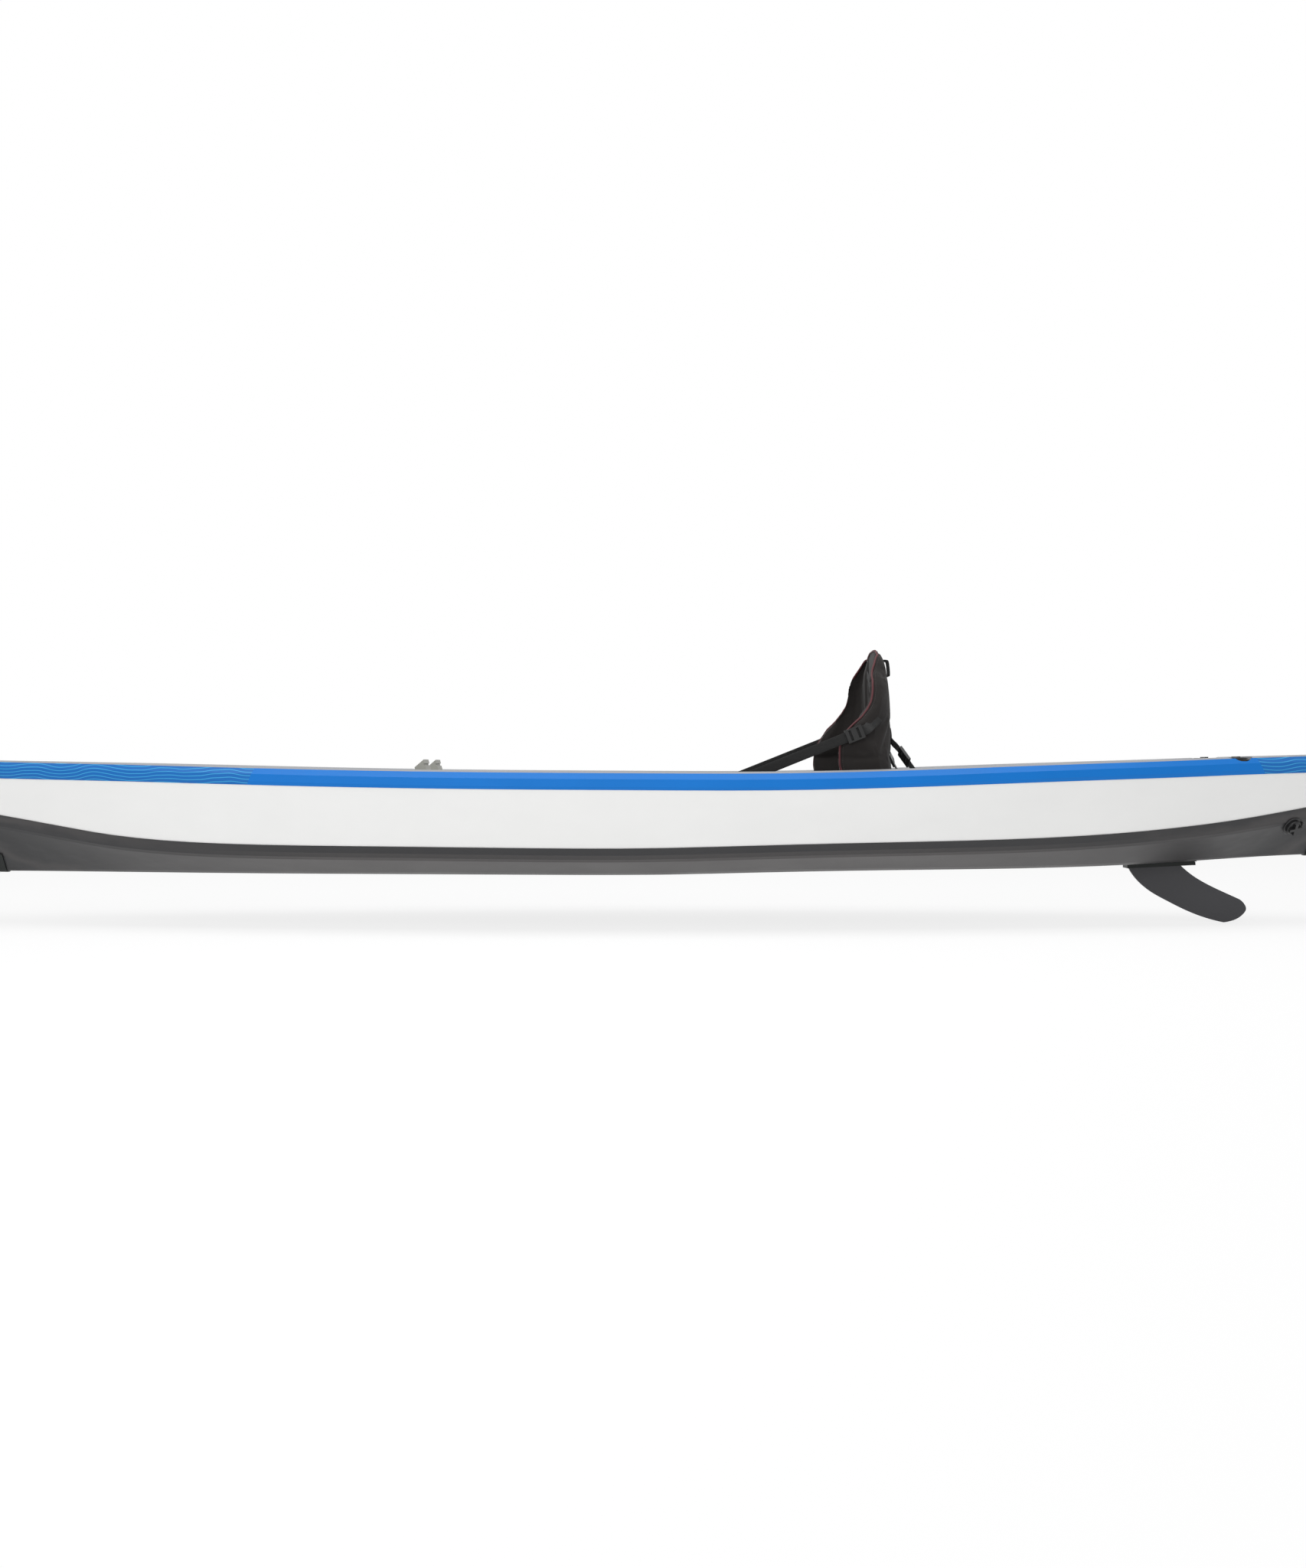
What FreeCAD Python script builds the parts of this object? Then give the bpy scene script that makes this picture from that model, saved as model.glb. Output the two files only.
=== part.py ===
"""An inflatable touring kayak: two leaning side chambers and a flat floor chamber of drop-stitch
fabric, a tensioned bottom skin under them, rigid end mouldings, spring valves, a drain valve,
a slide-in skeg, a strapped-in seat with a winged backrest and a foot brace.

Millimetres. The length runs along X with the bow at -X, port is -Y, and Z = 0 is the flat bottom."""
import FreeCAD, Part
import math
import os
from collections import namedtuple

import Sketcher
from FreeCAD import Placement, Rotation, Vector

os.makedirs("parts", exist_ok=True)
doc = FreeCAD.newDocument("inflatable_kayak")

SIZES = {
    # Hull
    "hull_length": 3910,
    "beam": 710,
    "foot_beam": 610,
    "stem_width": 28,
    "stem_foot_width": 24,
    "rim_height": 254,
    "rim_rise": 50,
    "foot_height": 43.5,
    "foot_rise": 140,
    "keel_rise": 80,
    "keel_width": 24,
    "wall_thickness": 100,
    "wall_closing": 20,
    "chamber_gap": 1.5,
    "floor_thickness": 88,
    "floor_edge_radius": 35,
    "skin_thickness": 1.5,
    "fabric_gap": 0.4,
    "tape_height": 28,
    "flat_cut": 0.5,
    "rail_height": 40,
    "rail_thickness": 0.8,
    "rim_edge": 4,
    # End mouldings and carry handles
    "moulding_wall": 2.5,
    "moulding_gap": 0.8,
    "moulding_lap": 4,
    "nose_rake": 60,
    "nose_cover": 1.6,
    "lug_length": 18,
    "lug_width": 16,
    "lug_height": 18,
    "lug_pin_height": 13.4,
    "handle_pin_radius": 3,
    "handle_pin_play": 2,
    "handle_reach": 92,
    "handle_half_width": 47,
    "handle_eye_radius": 5.2,
    "handle_eye_width": 9,
    "webbing_width": 16,
    "webbing_thickness": 2.2,
    "grip_radius": 12,
    "grip_length": 75,
    "grip_chamfer": 3,
    "running_gap": 0.05,
    "seat_gap": 0.3,
    # Inflation valves
    "valve_place": 1448,
    "floor_valve_place": 1150,
    "pocket_radius": 38.5,
    "pocket_depth": 11,
    "floor_pocket_depth": 3,
    "valve_hole_depth": 44,
    "valve_flange_radius": 36,
    "valve_flange_thickness": 4,
    "valve_barrel_radius": 22,
    "valve_bore_radius": 17,
    "valve_mouth_depth": 10,
    "valve_seat_depth": 24,
    "valve_seat_thickness": 3,
    "valve_seat_radius": 13,
    "hub_spoke_width": 6,
    "hub_spokes": 3,
    "stem_radius": 2,
    "poppet_radius": 16,
    "poppet_thickness": 3,
    "poppet_button_radius": 6,
    "poppet_button_thickness": 3,
    "poppet_button_depth": 11,
    "spring_radius": 3.7,
    "spring_wire_radius": 0.45,
    "spring_turns": 3,
    # Valve caps and tethers
    "valve_cap_radius": 28,
    "valve_cap_thickness": 3.5,
    "valve_neck_radius": 18,
    "valve_bar_length": 22,
    "valve_bar_height": 3,
    "valve_cap_bars": 2,
    "cap_rim_radius": 1.5,
    "cap_bar_width": 8,
    "tether_thickness": 1.2,
    "tether_ring_width": 5,
    "valve_hinge_offset": 33,
    "hinge_height": 2.8,
    "hinge_pin_radius": 1,
    "hinge_eye_radius": 1.9,
    "hinge_lug_width": 3,
    "hinge_lug_spread": 12.6,
    # Drain valve
    "drain_place": 1595,
    "drain_flange_radius": 26,
    "drain_flange_thickness": 3,
    "drain_height": 118,
    "drain_bore_radius": 13,
    "drain_spigot_radius": 16,
    "drain_spigot_depth": 5,
    "drain_cap_radius": 19.5,
    "drain_cap_thickness": 5,
    "drain_neck_radius": 13.8,
    "drain_bar_length": 17.5,
    "drain_bar_height": 7,
    "drain_cap_bars": 4,
    "drain_hinge_offset": 23.5,
    # Skeg
    "skeg_place": 1206,
    "skeg_clearance": 0.8,
    "skeg_base_length": 172,
    "skeg_base_width": 44,
    "skeg_base_height": 12,
    "skeg_flange_thickness": 2,
    "skeg_flange_width": 74,
    "skeg_slot_width": 9,
    "skeg_slot_stop": 8,
    "skeg_rail_width": 22,
    "skeg_rail_height": 4,
    "skeg_lip": 3,
    "skeg_thickness": 8,
    "skeg_tip_thickness": 3,
    "skeg_depth": 150.7,
    "skeg_sweep": 294.6,
    "wedge_length": 25,
    "wedge_head_height": 8,
    "wedge_head_length": 5,
    "slide_gap": 0.35,
    # Foot brace
    "brace_place": -534,
    "brace_base_length": 96,
    "brace_base_width": 336,
    "brace_base_thickness": 8,
    "brace_strap_spread": 54,
    "brace_strap_width": 25,
    "brace_strap_length": 420,
    "brace_patch_length": 60,
    "brace_patch_width": 70,
    "groove_gap": 0.6,
    "pedal_spread": 120,
    "pedal_width": 92,
    "pedal_height": 168,
    "pedal_thickness": 27,
    "pedal_lean": 15,
    "pedal_toe": 13,
    "pedal_pin_radius": 4,
    "pedal_pin_height": 20,
    "pedal_eye_radius": 9,
    "pedal_lug_thickness": 6,
    "pedal_groove_width": 6,
    "pedal_groove_depth": 3,
    "pedal_groove_span": 126,
    "pedal_groove_start": 26,
    "pedal_grooves": 8,
    "pedal_hollow": 19,
    "pedal_wall": 5,
    # Seat
    "seat_place": 262,
    "cushion_length": 304,
    "cushion_half_width": 168,
    "cushion_thickness": 34,
    "cushion_crown": 6,
    "cushion_edge_radius": 12,
    "back_pivot_place": 602,
    "back_pivot_height": 4,
    "back_pivot_inset": 9,
    "back_height": 464,
    "back_half_width": 200,
    "back_reach": 172,
    "back_lean": 40,
    "back_thickness": 26,
    "back_corner_radius": 88,
    "back_skirt_start": 57,
    "back_skirt_rise": 152,
    "back_loop_height": 40,
    "back_loop_depth": 15,
    "back_loop_wall": 2.5,
    "back_loop_width": 38,
    "back_loop_rise": 412,
    "strap_thickness": 1.6,
    "brace_patch_thickness": 1.6,
    "strap_width": 25,
    "ring_outer_radius": 17,
    "ring_bar": 4,
    "ring_thickness": 4,
    "ring_patch_radius": 34,
    "ring_patch_thickness": 1.4,
    "ring_block_length": 14,
    "ring_block_width": 20,
    "ring_block_height": 9.6,
    "ring_tunnel_radius": 3.2,
    "front_ring_place": 90,
    "rear_ring_place": 684,
    "ring_drop": 72,
    "front_strap_back_place": 532,
    "front_strap_back_height": 362,
    "rear_strap_back_height": 322,
    "rear_strap_spread": 100,
    "strap_stand_off": 11.5,
    "fold_length": 14,
    "buckle_length": 44,
    "buckle_width": 34,
    "buckle_thickness": 7,
    "buckle_slot": 6,
    "buckle_place": 24,
    "hook_length": 46,
    "hook_eye_length": 14,
    "hook_eye_width": 34,
    "hook_eye_thickness": 7,
    "hook_thickness": 5,
    "hook_wall": 2,
    "hook_gap": 0.5,
}

sheet = doc.addObject("Spreadsheet::Sheet", "sizes")
for row, (alias, number) in enumerate(SIZES.items(), start=1):
    sheet.set(f"A{row}", alias)
    sheet.set(f"B{row}", str(number))
    sheet.setAlias(f"B{row}", alias)
doc.recompute()


def size(alias):
    """A driving dimension as the sheet holds it."""
    return float(sheet.get(alias))


def worth(expression):
    """The value of an expression in the sheet's names."""
    return float(sheet.evalExpression(expression))


# Geometry helpers

def offset_lines(corners, distance, closed):
    """The corners of a path moved to the right of its direction by a distance."""
    count = len(corners)
    spans = count if closed else count - 1
    normals = []
    for i in range(spans):
        (y0, z0), (y1, z1) = corners[i], corners[(i + 1) % count]
        length = math.hypot(y1 - y0, z1 - z0)
        normals.append(((z1 - z0) / length, (y0 - y1) / length))
    moved = []
    for i, (y, z) in enumerate(corners):
        if not closed and i in (0, count - 1):
            ny, nz = normals[0 if i == 0 else -1]
            moved.append((y + distance * ny, z + distance * nz))
            continue
        (ay, az), (by, bz) = normals[i - 1], normals[i % spans]
        scale = distance / (1 + ay * by + az * bz)
        moved.append((y + scale * (ay + by), z + scale * (az + bz)))
    return moved


def corner_turn(before, corner, after, radius):
    """Centre and the first and last direction of the arc that rounds a corner."""
    u = Vector(before[0] - corner[0], before[1] - corner[1], 0).normalize()
    v = Vector(after[0] - corner[0], after[1] - corner[1], 0).normalize()
    half = u.getAngle(v) / 2
    point = Vector(corner[0], corner[1], 0)
    centre = point + (u + v).normalize() * (radius / math.sin(half))
    spokes = [point + side * (radius / math.tan(half)) - centre for side in (u, v)]
    first, last = [math.atan2(spoke.y, spoke.x) for spoke in spokes]
    return (centre.x, centre.y), first, first + (last - first + math.pi) % math.tau - math.pi


def arc_points(centre, radius, first, last, chords):
    """Points along an arc at even turns."""
    turns = [first + (last - first) * i / chords for i in range(chords + 1)]
    return [(centre[0] + radius * math.cos(a), centre[1] + radius * math.sin(a)) for a in turns]


def rounded_path(corners, radii, chords, closed=False):
    """A path whose corners are rounded by a few chords each, so that lofts stay light."""
    count = len(corners)
    points = []
    for i, corner in enumerate(corners):
        if radii[i] and (closed or 0 < i < count - 1):
            neighbours = corners[i - 1], corner, corners[(i + 1) % count]
            centre, first, last = corner_turn(*neighbours, radii[i])
            points += arc_points(centre, radii[i], first, last, chords)
        else:
            points.append(corner)
    return points


def loop_wire(points, place):
    """A closed wire through points of a section; place(y, z) makes each a point in space."""
    placed = [place(y, z) for y, z in points]
    return Part.makePolygon(placed + placed[:1])


def strip_points(corners, radii, thickness, chords):
    """The outline of a strip that follows a path and is thick to the path's right."""
    near = rounded_path(corners, radii, chords)
    wider = [radius + thickness if radius else radius for radius in radii]
    far = rounded_path(offset_lines(corners, thickness, False), wider, chords)
    return near + far[::-1]


def at_station(x):
    """Turns a section's (y, z) into a point at one place along the hull."""
    return lambda y, z: Vector(x, y, z)


def mirrored(shape):
    """The starboard copy of a port piece."""
    return shape.mirror(Vector(0, 0, 0), Vector(0, 1, 0))


def add_piece(label, shape):
    piece = doc.addObject("Part::Feature", label)
    piece.Label = label
    piece.Shape = shape
    return piece


def first_hit(shape, start, end):
    """Where a straight line from start first meets a shape."""
    line = Part.makeLine(start, end)
    points = [vertex.Point for vertex in shape.common(line).Vertexes]
    return min(points, key=lambda point: point.distanceToPoint(start))


# PartDesign helpers: every length of a sketch is an expression in the sheet's names

def new_body(label):
    body = doc.addObject("PartDesign::Body", label)
    body.Label = label
    return body


def new_sketch(body, role):
    sketch = body.newObject("Sketcher::SketchObject", f"{body.Name}_outline")
    plane = next(f for f in body.Origin.OriginFeatures if f.Role == role)
    sketch.AttachmentSupport = [(plane, "")]
    sketch.MapMode = "FlatFace"
    return sketch


def bind(sketch, kind, geometry, point, expression):
    """Holds one coordinate of a sketch point to an expression."""
    index = sketch.addConstraint(
        Sketcher.Constraint(kind, -1, 1, geometry, point, worth(expression)))
    sketch.setExpression(f"Constraints[{index}]", expression)


def add_outline(sketch, corners):
    """A closed outline of straight lines through corners given as pairs of expressions."""
    first = sketch.GeometryCount
    count = len(corners)
    points = [Vector(worth(u), worth(v), 0) for u, v in corners]
    for i in range(count):
        sketch.addGeometry(Part.LineSegment(points[i], points[(i + 1) % count]))
    for i in range(count):
        sketch.addConstraint(
            Sketcher.Constraint("Coincident", first + i, 2, first + (i + 1) % count, 1))
    for i, (u, v) in enumerate(corners):
        bind(sketch, "DistanceX", first + i, 1, u)
        bind(sketch, "DistanceY", first + i, 1, v)


def add_circle(sketch, u, v, radius):
    """A circle whose centre and radius are expressions."""
    index = sketch.addGeometry(
        Part.Circle(Vector(worth(u), worth(v), 0), Vector(0, 0, 1), worth(radius)))
    bind(sketch, "DistanceX", index, 3, u)
    bind(sketch, "DistanceY", index, 3, v)
    held = sketch.addConstraint(Sketcher.Constraint("Radius", index, worth(radius)))
    sketch.setExpression(f"Constraints[{held}]", radius)


def outline_sketch(body, role, corners):
    sketch = new_sketch(body, role)
    add_outline(sketch, corners)
    return sketch


def circle_sketch(body, role, circles):
    sketch = new_sketch(body, role)
    for u, v, radius in circles:
        add_circle(sketch, u, v, radius)
    return sketch


def box_corners(u0, u1, v0, v1):
    """The four corners of a rectangle between two pairs of expressions."""
    return [(u0, v0), (u1, v0), (u1, v1), (u0, v1)]


def add_feature(body, kind, sketch):
    feature = body.newObject(f"PartDesign::{kind}", f"{body.Name}_{kind.lower()}")
    feature.Profile = sketch
    return feature


def pad(body, sketch, length, start=None, both_ways=False):
    """Pads a sketch by an expression, from an offset plane where start is given."""
    feature = add_feature(body, "Pad", sketch)
    feature.setExpression("Length", length)
    if both_ways:
        feature.SideType = "Symmetric"
    if start is not None:
        raise_sketch(sketch, start)
    return feature


def pocket(body, sketch, length, start=None, both_ways=False, reverse=False):
    """Cuts a sketch into the body and checks that it took something away."""
    if start is not None:
        raise_sketch(sketch, start)
    doc.recompute()
    before = body.Shape.Volume
    feature = add_feature(body, "Pocket", sketch)
    feature.setExpression("Length", length)
    if both_ways:
        feature.SideType = "Symmetric"
    feature.Reversed = reverse
    doc.recompute()
    if not body.Shape.Volume < before:
        raise ValueError(f"{body.Label}: a pocket cuts nothing")
    return feature


def raise_sketch(sketch, height):
    """Moves a sketch off its plane by an expression."""
    sketch.setExpression(".AttachmentOffset.Base.z", height)


def turn(body, sketch, kind="Revolution"):
    """Turns a sketch of (radius, height) pairs about the upright axis."""
    feature = add_feature(body, kind, sketch)
    feature.ReferenceAxis = (sketch, ["V_Axis"])
    feature.Angle = 360
    return feature


def turned(label, profile):
    """A body turned about Z from an outline of (radius, height) pairs."""
    body = new_body(label)
    turn(body, outline_sketch(body, "XZ_Plane", profile))
    return body


def ring_pattern(body, feature, count):
    """Repeats a feature about the upright axis."""
    pattern = body.newObject("PartDesign::PolarPattern", f"{body.Name}_ring")
    pattern.Originals = [feature]
    axis = next(f for f in body.Origin.OriginFeatures if f.Role == "Z_Axis")
    pattern.Axis = (axis, [""])
    pattern.Angle = 360
    pattern.setExpression("Occurrences", count)
    body.Tip = pattern
    return pattern


def row_pattern(body, feature, role, span, count):
    """Repeats a feature along one of the body's own axes."""
    pattern = body.newObject("PartDesign::LinearPattern", f"{body.Name}_row")
    pattern.Originals = [feature]
    axis = next(f for f in body.Origin.OriginFeatures if f.Role == role)
    pattern.Direction = (axis, [""])
    pattern.setExpression("Length", span)
    pattern.setExpression("Occurrences", count)
    body.Tip = pattern
    return pattern


OCTAGON_SHARE = math.tan(math.pi / 8)


def octagon_corners(u, v, reach):
    """Eight corners round a place, whose flats lie at a reach from it."""
    near = f"{OCTAGON_SHARE} * ({reach})"
    ways = [(reach, near), (near, reach), (f"-({near})", reach), (f"-({reach})", near)]
    ways += [(f"-({a})", f"-({b})") for a, b in ways]
    return [(f"{u} + {a}", f"{v} + {b}") for a, b in ways]


# The hull's stations: place along the half length, then the rise of the rim, of the walls' feet
# and of the keel, each as a share of its own named rise
STATION_SHARES = (
    (-0.975, 0.64, 0.839, 0.625),
    (-0.91, 0.585, 0.702, 0.105),
    (-0.83, 0.525, 0.520, 0.004),
    (-0.755, 0.47, 0.354, 0),
    (-0.64, 0.38, 0.135, 0),
    (-0.45, 0.20, 0.033, 0),
    (-0.22, 0.055, 0.008, 0),
    (0, 0, 0, 0),
    (0.22, 0.04, 0.075, 0.105),
    (0.43, 0.30, 0.133, 0.15),
    (0.60, 0.52, 0.25, 0.235),
    (0.755, 0.73, 0.486, 0.425),
    (0.85, 0.83, 0.70, 0.53),
    (0.92, 0.92, 0.855, 0.65),
    (0.975, 0.98, 0.996, 1.0),
)
FULLNESS_SHARE = 2.15
FLOOR_END_SHARE = 0.755
TOP_ROUND_SHARE = 0.30
FOOT_ROUND_SHARE = 0.22
FLOOR_ROUND_SHARE = 0.8
KEEL_ROUND_SHARE = 0.6
ROUND_CHORDS = 3
SKIN_CHORDS = 2

Station = namedtuple("Station", "along x rim foot keel top low inner_top inner_low")


def inner_face(outer):
    """How far inside the hull a wall's inner face lies; the two walls never meet."""
    room = outer - size("wall_thickness") - size("chamber_gap")
    return size("chamber_gap") + (room + math.hypot(room, size("wall_closing"))) / 2


def station(shares):
    along, rim, foot, keel = shares
    narrowing = 1 - abs(along) ** FULLNESS_SHARE
    stem, stem_foot = size("stem_width") / 2, size("stem_foot_width") / 2
    top = stem + (size("beam") / 2 - stem) * narrowing
    low = stem_foot + (size("foot_beam") / 2 - stem_foot) * narrowing
    return Station(
        along, along * size("hull_length") / 2,
        size("rim_height") + rim * size("rim_rise"),
        size("foot_height") + foot * size("foot_rise"),
        keel * size("keel_rise") - size("flat_cut"),
        top, low, inner_face(top), inner_face(low))


STATIONS = [station(shares) for shares in STATION_SHARES]


def between(x):
    """A station worked out between its two neighbours in the table."""
    for one, two in zip(STATIONS, STATIONS[1:]):
        if one.x <= x <= two.x:
            share = (x - one.x) / (two.x - one.x)
            return Station(*(a + share * (b - a) for a, b in zip(one, two)))
    raise ValueError("a place lies off the hull")


def wall_corners(here):
    """Port wall, looking aft: outer foot, outer top, inner top and inner foot."""
    return [(-here.low, here.foot), (-here.top, here.rim),
            (-here.inner_top, here.rim), (-here.inner_low, here.foot)]


def top_round(here):
    return TOP_ROUND_SHARE * (here.top - here.inner_top)


def foot_round(here):
    return FOOT_ROUND_SHARE * (here.low - here.inner_low)


def side_chamber():
    """The port chamber, lofted through rounded four-sided sections."""
    wires = []
    for s in STATIONS:
        radii = [foot_round(s), top_round(s), top_round(s), foot_round(s)]
        points = rounded_path(wall_corners(s), radii, ROUND_CHORDS, True)
        wires.append(loop_wire(points, at_station(s.x)))
    return Part.makeLoft(wires, True, False)


def floor_bottom(here):
    return here.keel + size("skin_thickness") + size("fabric_gap")


def floor_side(here, height):
    """Half width of the floor chamber at a height: it runs along the wall's inner face."""
    lean = (here.inner_top - here.inner_low) / (here.rim - here.foot)
    return here.inner_low + (height - here.foot) * lean - size("chamber_gap")


def floor_chamber():
    """The floor, a thick panel with rounded sides that narrows with the walls."""
    wires = []
    for s in STATIONS:
        if abs(s.along) > FLOOR_END_SHARE:
            continue
        low, high = floor_bottom(s), floor_bottom(s) + size("floor_thickness")
        y_low, y_high = floor_side(s, low), floor_side(s, high)
        corners = [(-y_low, low), (-y_high, high), (y_high, high), (y_low, low)]
        radius = min(size("floor_edge_radius"), FLOOR_ROUND_SHARE * y_low)
        points = rounded_path(corners, [radius] * len(corners), ROUND_CHORDS, True)
        wires.append(loop_wire(points, at_station(s.x)))
    return Part.makeLoft(wires, True, False)


def keel_corner(here):
    """Half width of the flat bottom, which narrows to the keel at the ends."""
    return math.hypot(size("keel_width") / 2, floor_side(here, floor_bottom(here)))


def skin_path(here):
    """Inner side of the bottom skin, from the port tape edge under the hull to starboard."""
    wall = offset_lines(wall_corners(here), -size("fabric_gap"), True)
    (y_foot, z_foot), (y_top, z_top) = wall[0], wall[1]
    tape = here.foot + size("tape_height")
    share = (tape - z_foot) / (z_top - z_foot)
    y_tape = y_foot + share * (y_top - y_foot)
    port = [(y_tape, tape), (y_foot, z_foot),
            (-keel_corner(here), here.keel + size("skin_thickness"))]
    return port + [(-y, z) for y, z in reversed(port)]


def skin_radii(here):
    keel = KEEL_ROUND_SHARE * keel_corner(here)
    foot = foot_round(here) + size("fabric_gap")
    return [0, foot, keel, keel, foot, 0]


def bottom_skin():
    """One band of coated fabric from tape to tape, flat along the middle of its underside."""
    wires = []
    for s in STATIONS:
        points = strip_points(skin_path(s), skin_radii(s), size("skin_thickness"), SKIN_CHORDS)
        wires.append(loop_wire(points, at_station(s.x)))
    band = Part.makeLoft(wires, True, False)
    block = Part.makeBox(size("hull_length"), size("beam"), size("rim_height"),
                         Vector(-size("hull_length") / 2, -size("beam") / 2, -size("rim_height")))
    return band.cut(block)


def rail_band():
    """A glued strip round the outer top edge of the port chamber, from the rim downwards."""
    wires = []
    for s in STATIONS:
        corners = offset_lines(wall_corners(s), -size("fabric_gap"), True)
        foot, top, inner = corners[:3]
        radius = top_round(s) + size("fabric_gap")
        centre, first, last = corner_turn(foot, top, inner, radius)
        drop = size("rail_height") + size("rim_edge")
        share = (s.rim - drop - foot[1]) / (top[1] - foot[1])
        low = (foot[0] + share * (top[0] - foot[0]), s.rim - drop)
        near = arc_points(centre, radius, first, last, ROUND_CHORDS)[:-1]
        wide = radius + size("rail_thickness")
        far = arc_points(centre, wide, first, last, ROUND_CHORDS)[:-1]
        under = (low[0] + far[0][0] - near[0][0], low[1] + far[0][1] - near[0][1])
        wires.append(loop_wire([low] + near + far[::-1] + [under], at_station(s.x)))
    return Part.makeLoft(wires, True, False)


# Chambers, skin and bands

wall = side_chamber()


def wall_top_middle(x):
    """Middle of the port wall's top where a valve sits."""
    here = between(x)
    y = -(here.top + here.inner_top) / 2
    return first_hit(wall, Vector(x, y, size("beam")), Vector(x, y, here.foot))


def upright_hole(place, radius, depth):
    """A round cutter that goes down from a place and stands well clear above it."""
    return Part.makeCylinder(radius, depth + size("beam"), place - Vector(0, 0, depth))


def valve_seat_cut(top, depth):
    """The flat-bottomed pocket for a valve's flange with the hole for its barrel."""
    barrel = size("valve_barrel_radius") + size("seat_gap")
    pocket_cut = upright_hole(top, size("pocket_radius"), depth)
    return pocket_cut.fuse(upright_hole(top, barrel, depth + size("valve_hole_depth")))


valve_top = wall_top_middle(size("valve_place"))
port_wall = wall.cut(valve_seat_cut(valve_top, size("pocket_depth")))
add_piece("port_side_chamber", port_wall)
add_piece("starboard_side_chamber", mirrored(port_wall))

floor = floor_chamber()
floor_x = size("floor_valve_place")
floor_top = first_hit(floor, Vector(floor_x, 0, size("beam")),
                      Vector(floor_x, 0, floor_bottom(between(floor_x))))
add_piece("floor_chamber", floor.cut(valve_seat_cut(floor_top, size("floor_pocket_depth"))))

band = rail_band()
valve_notch = upright_hole(valve_top, size("pocket_radius") + size("fabric_gap"),
                           size("pocket_depth"))
add_piece("port_rail_band", band.cut(valve_notch))
add_piece("starboard_rail_band", mirrored(band.cut(valve_notch)))

skin = bottom_skin()


# Inflation and drain valves. Each stands on Z = 0, the plane that its flange sits on.

def valve_body(label):
    """Flange and barrel: a mouth for the pump's nozzle, a throat, and spokes at its foot."""
    foot = "-sizes.valve_seat_depth - sizes.valve_seat_thickness"
    body = turned(label, [
        ("sizes.valve_bore_radius", "sizes.valve_flange_thickness"),
        ("sizes.valve_flange_radius", "sizes.valve_flange_thickness"),
        ("sizes.valve_flange_radius", "sizes.seat_gap"),
        ("sizes.valve_barrel_radius", "sizes.seat_gap"),
        ("sizes.valve_barrel_radius", foot),
        ("sizes.valve_seat_radius", foot),
        ("sizes.valve_seat_radius", "-sizes.valve_mouth_depth"),
        ("sizes.valve_bore_radius", "-sizes.valve_mouth_depth"),
    ])
    spoke = pad(body, outline_sketch(body, "XY_Plane", box_corners(
        "0", "sizes.valve_seat_radius + sizes.valve_seat_thickness",
        "-sizes.hub_spoke_width / 2", "sizes.hub_spoke_width / 2")),
        "sizes.valve_seat_thickness", foot)
    doc.recompute()
    ring_pattern(body, spoke, "sizes.hub_spokes")
    doc.recompute()
    pocket(body, circle_sketch(body, "XY_Plane",
                               [("0", "0", "sizes.stem_radius + sizes.running_gap")]),
           "sizes.valve_seat_depth * 4", both_ways=True)
    add_hinge_lugs(body, "valve")
    return body


def add_hinge_lugs(body, kind):
    """Two lugs with a pin between them at the flange's edge, which the tether turns on."""
    level = f"sizes.{kind}_flange_thickness + sizes.hinge_height"
    offset = f"sizes.{kind}_hinge_offset"
    outline = box_corners(
        f"{offset} - sizes.hinge_eye_radius", f"{offset} + sizes.hinge_eye_radius",
        f"sizes.{kind}_flange_thickness - sizes.hinge_pin_radius",
        f"{level} + sizes.hinge_eye_radius")
    for side in ("sizes.hinge_lug_spread / 2 + sizes.hinge_lug_width",
                 "-sizes.hinge_lug_spread / 2"):
        pad(body, outline_sketch(body, "XZ_Plane", outline), "sizes.hinge_lug_width",
            f"-({side}) + 0")
    pad(body, circle_sketch(body, "XZ_Plane", [(offset, level, "sizes.hinge_pin_radius")]),
        "sizes.hinge_lug_spread + sizes.hinge_lug_width", both_ways=True)


def valve_poppet(label):
    """A mushroom: sealing cone below the seat, stem through the spokes, button to press."""
    top = "-sizes.poppet_button_depth"
    under = f"{top} - sizes.poppet_button_thickness"
    disc = "-sizes.valve_seat_depth - sizes.valve_seat_thickness - sizes.running_gap"
    return turned(label, [
        ("0", top),
        ("sizes.poppet_button_radius", top),
        ("sizes.poppet_button_radius", under),
        ("sizes.stem_radius", under),
        ("sizes.stem_radius", disc),
        ("sizes.poppet_radius", disc),
        ("0", f"{disc} - sizes.poppet_thickness"),
    ])


def arc_between(start, corner, end):
    """The arc from start to end whose two end tangents meet at the corner."""
    middle = (start + end) / 2
    half_turn = math.atan2((corner - middle).Length, (end - start).Length / 2)
    rise = math.tan(half_turn / 2) / math.tan(half_turn)
    return Part.Arc(start, middle + (corner - middle) * rise, end).toShape()


def biarc(start, start_way, end, end_way):
    """Two arcs that join two points smoothly and leave each in its given direction."""
    across, ways = end - start, start_way + end_way
    spread = 2 * (1 - start_way.dot(end_way))
    along = across.dot(ways)
    reach = (math.sqrt(along ** 2 + spread * across.dot(across)) - along) / spread
    first, last = start + start_way * reach, end - end_way * reach
    joint = (first + last) / 2
    return [arc_between(start, first, joint), arc_between(joint, last, end)]


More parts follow.
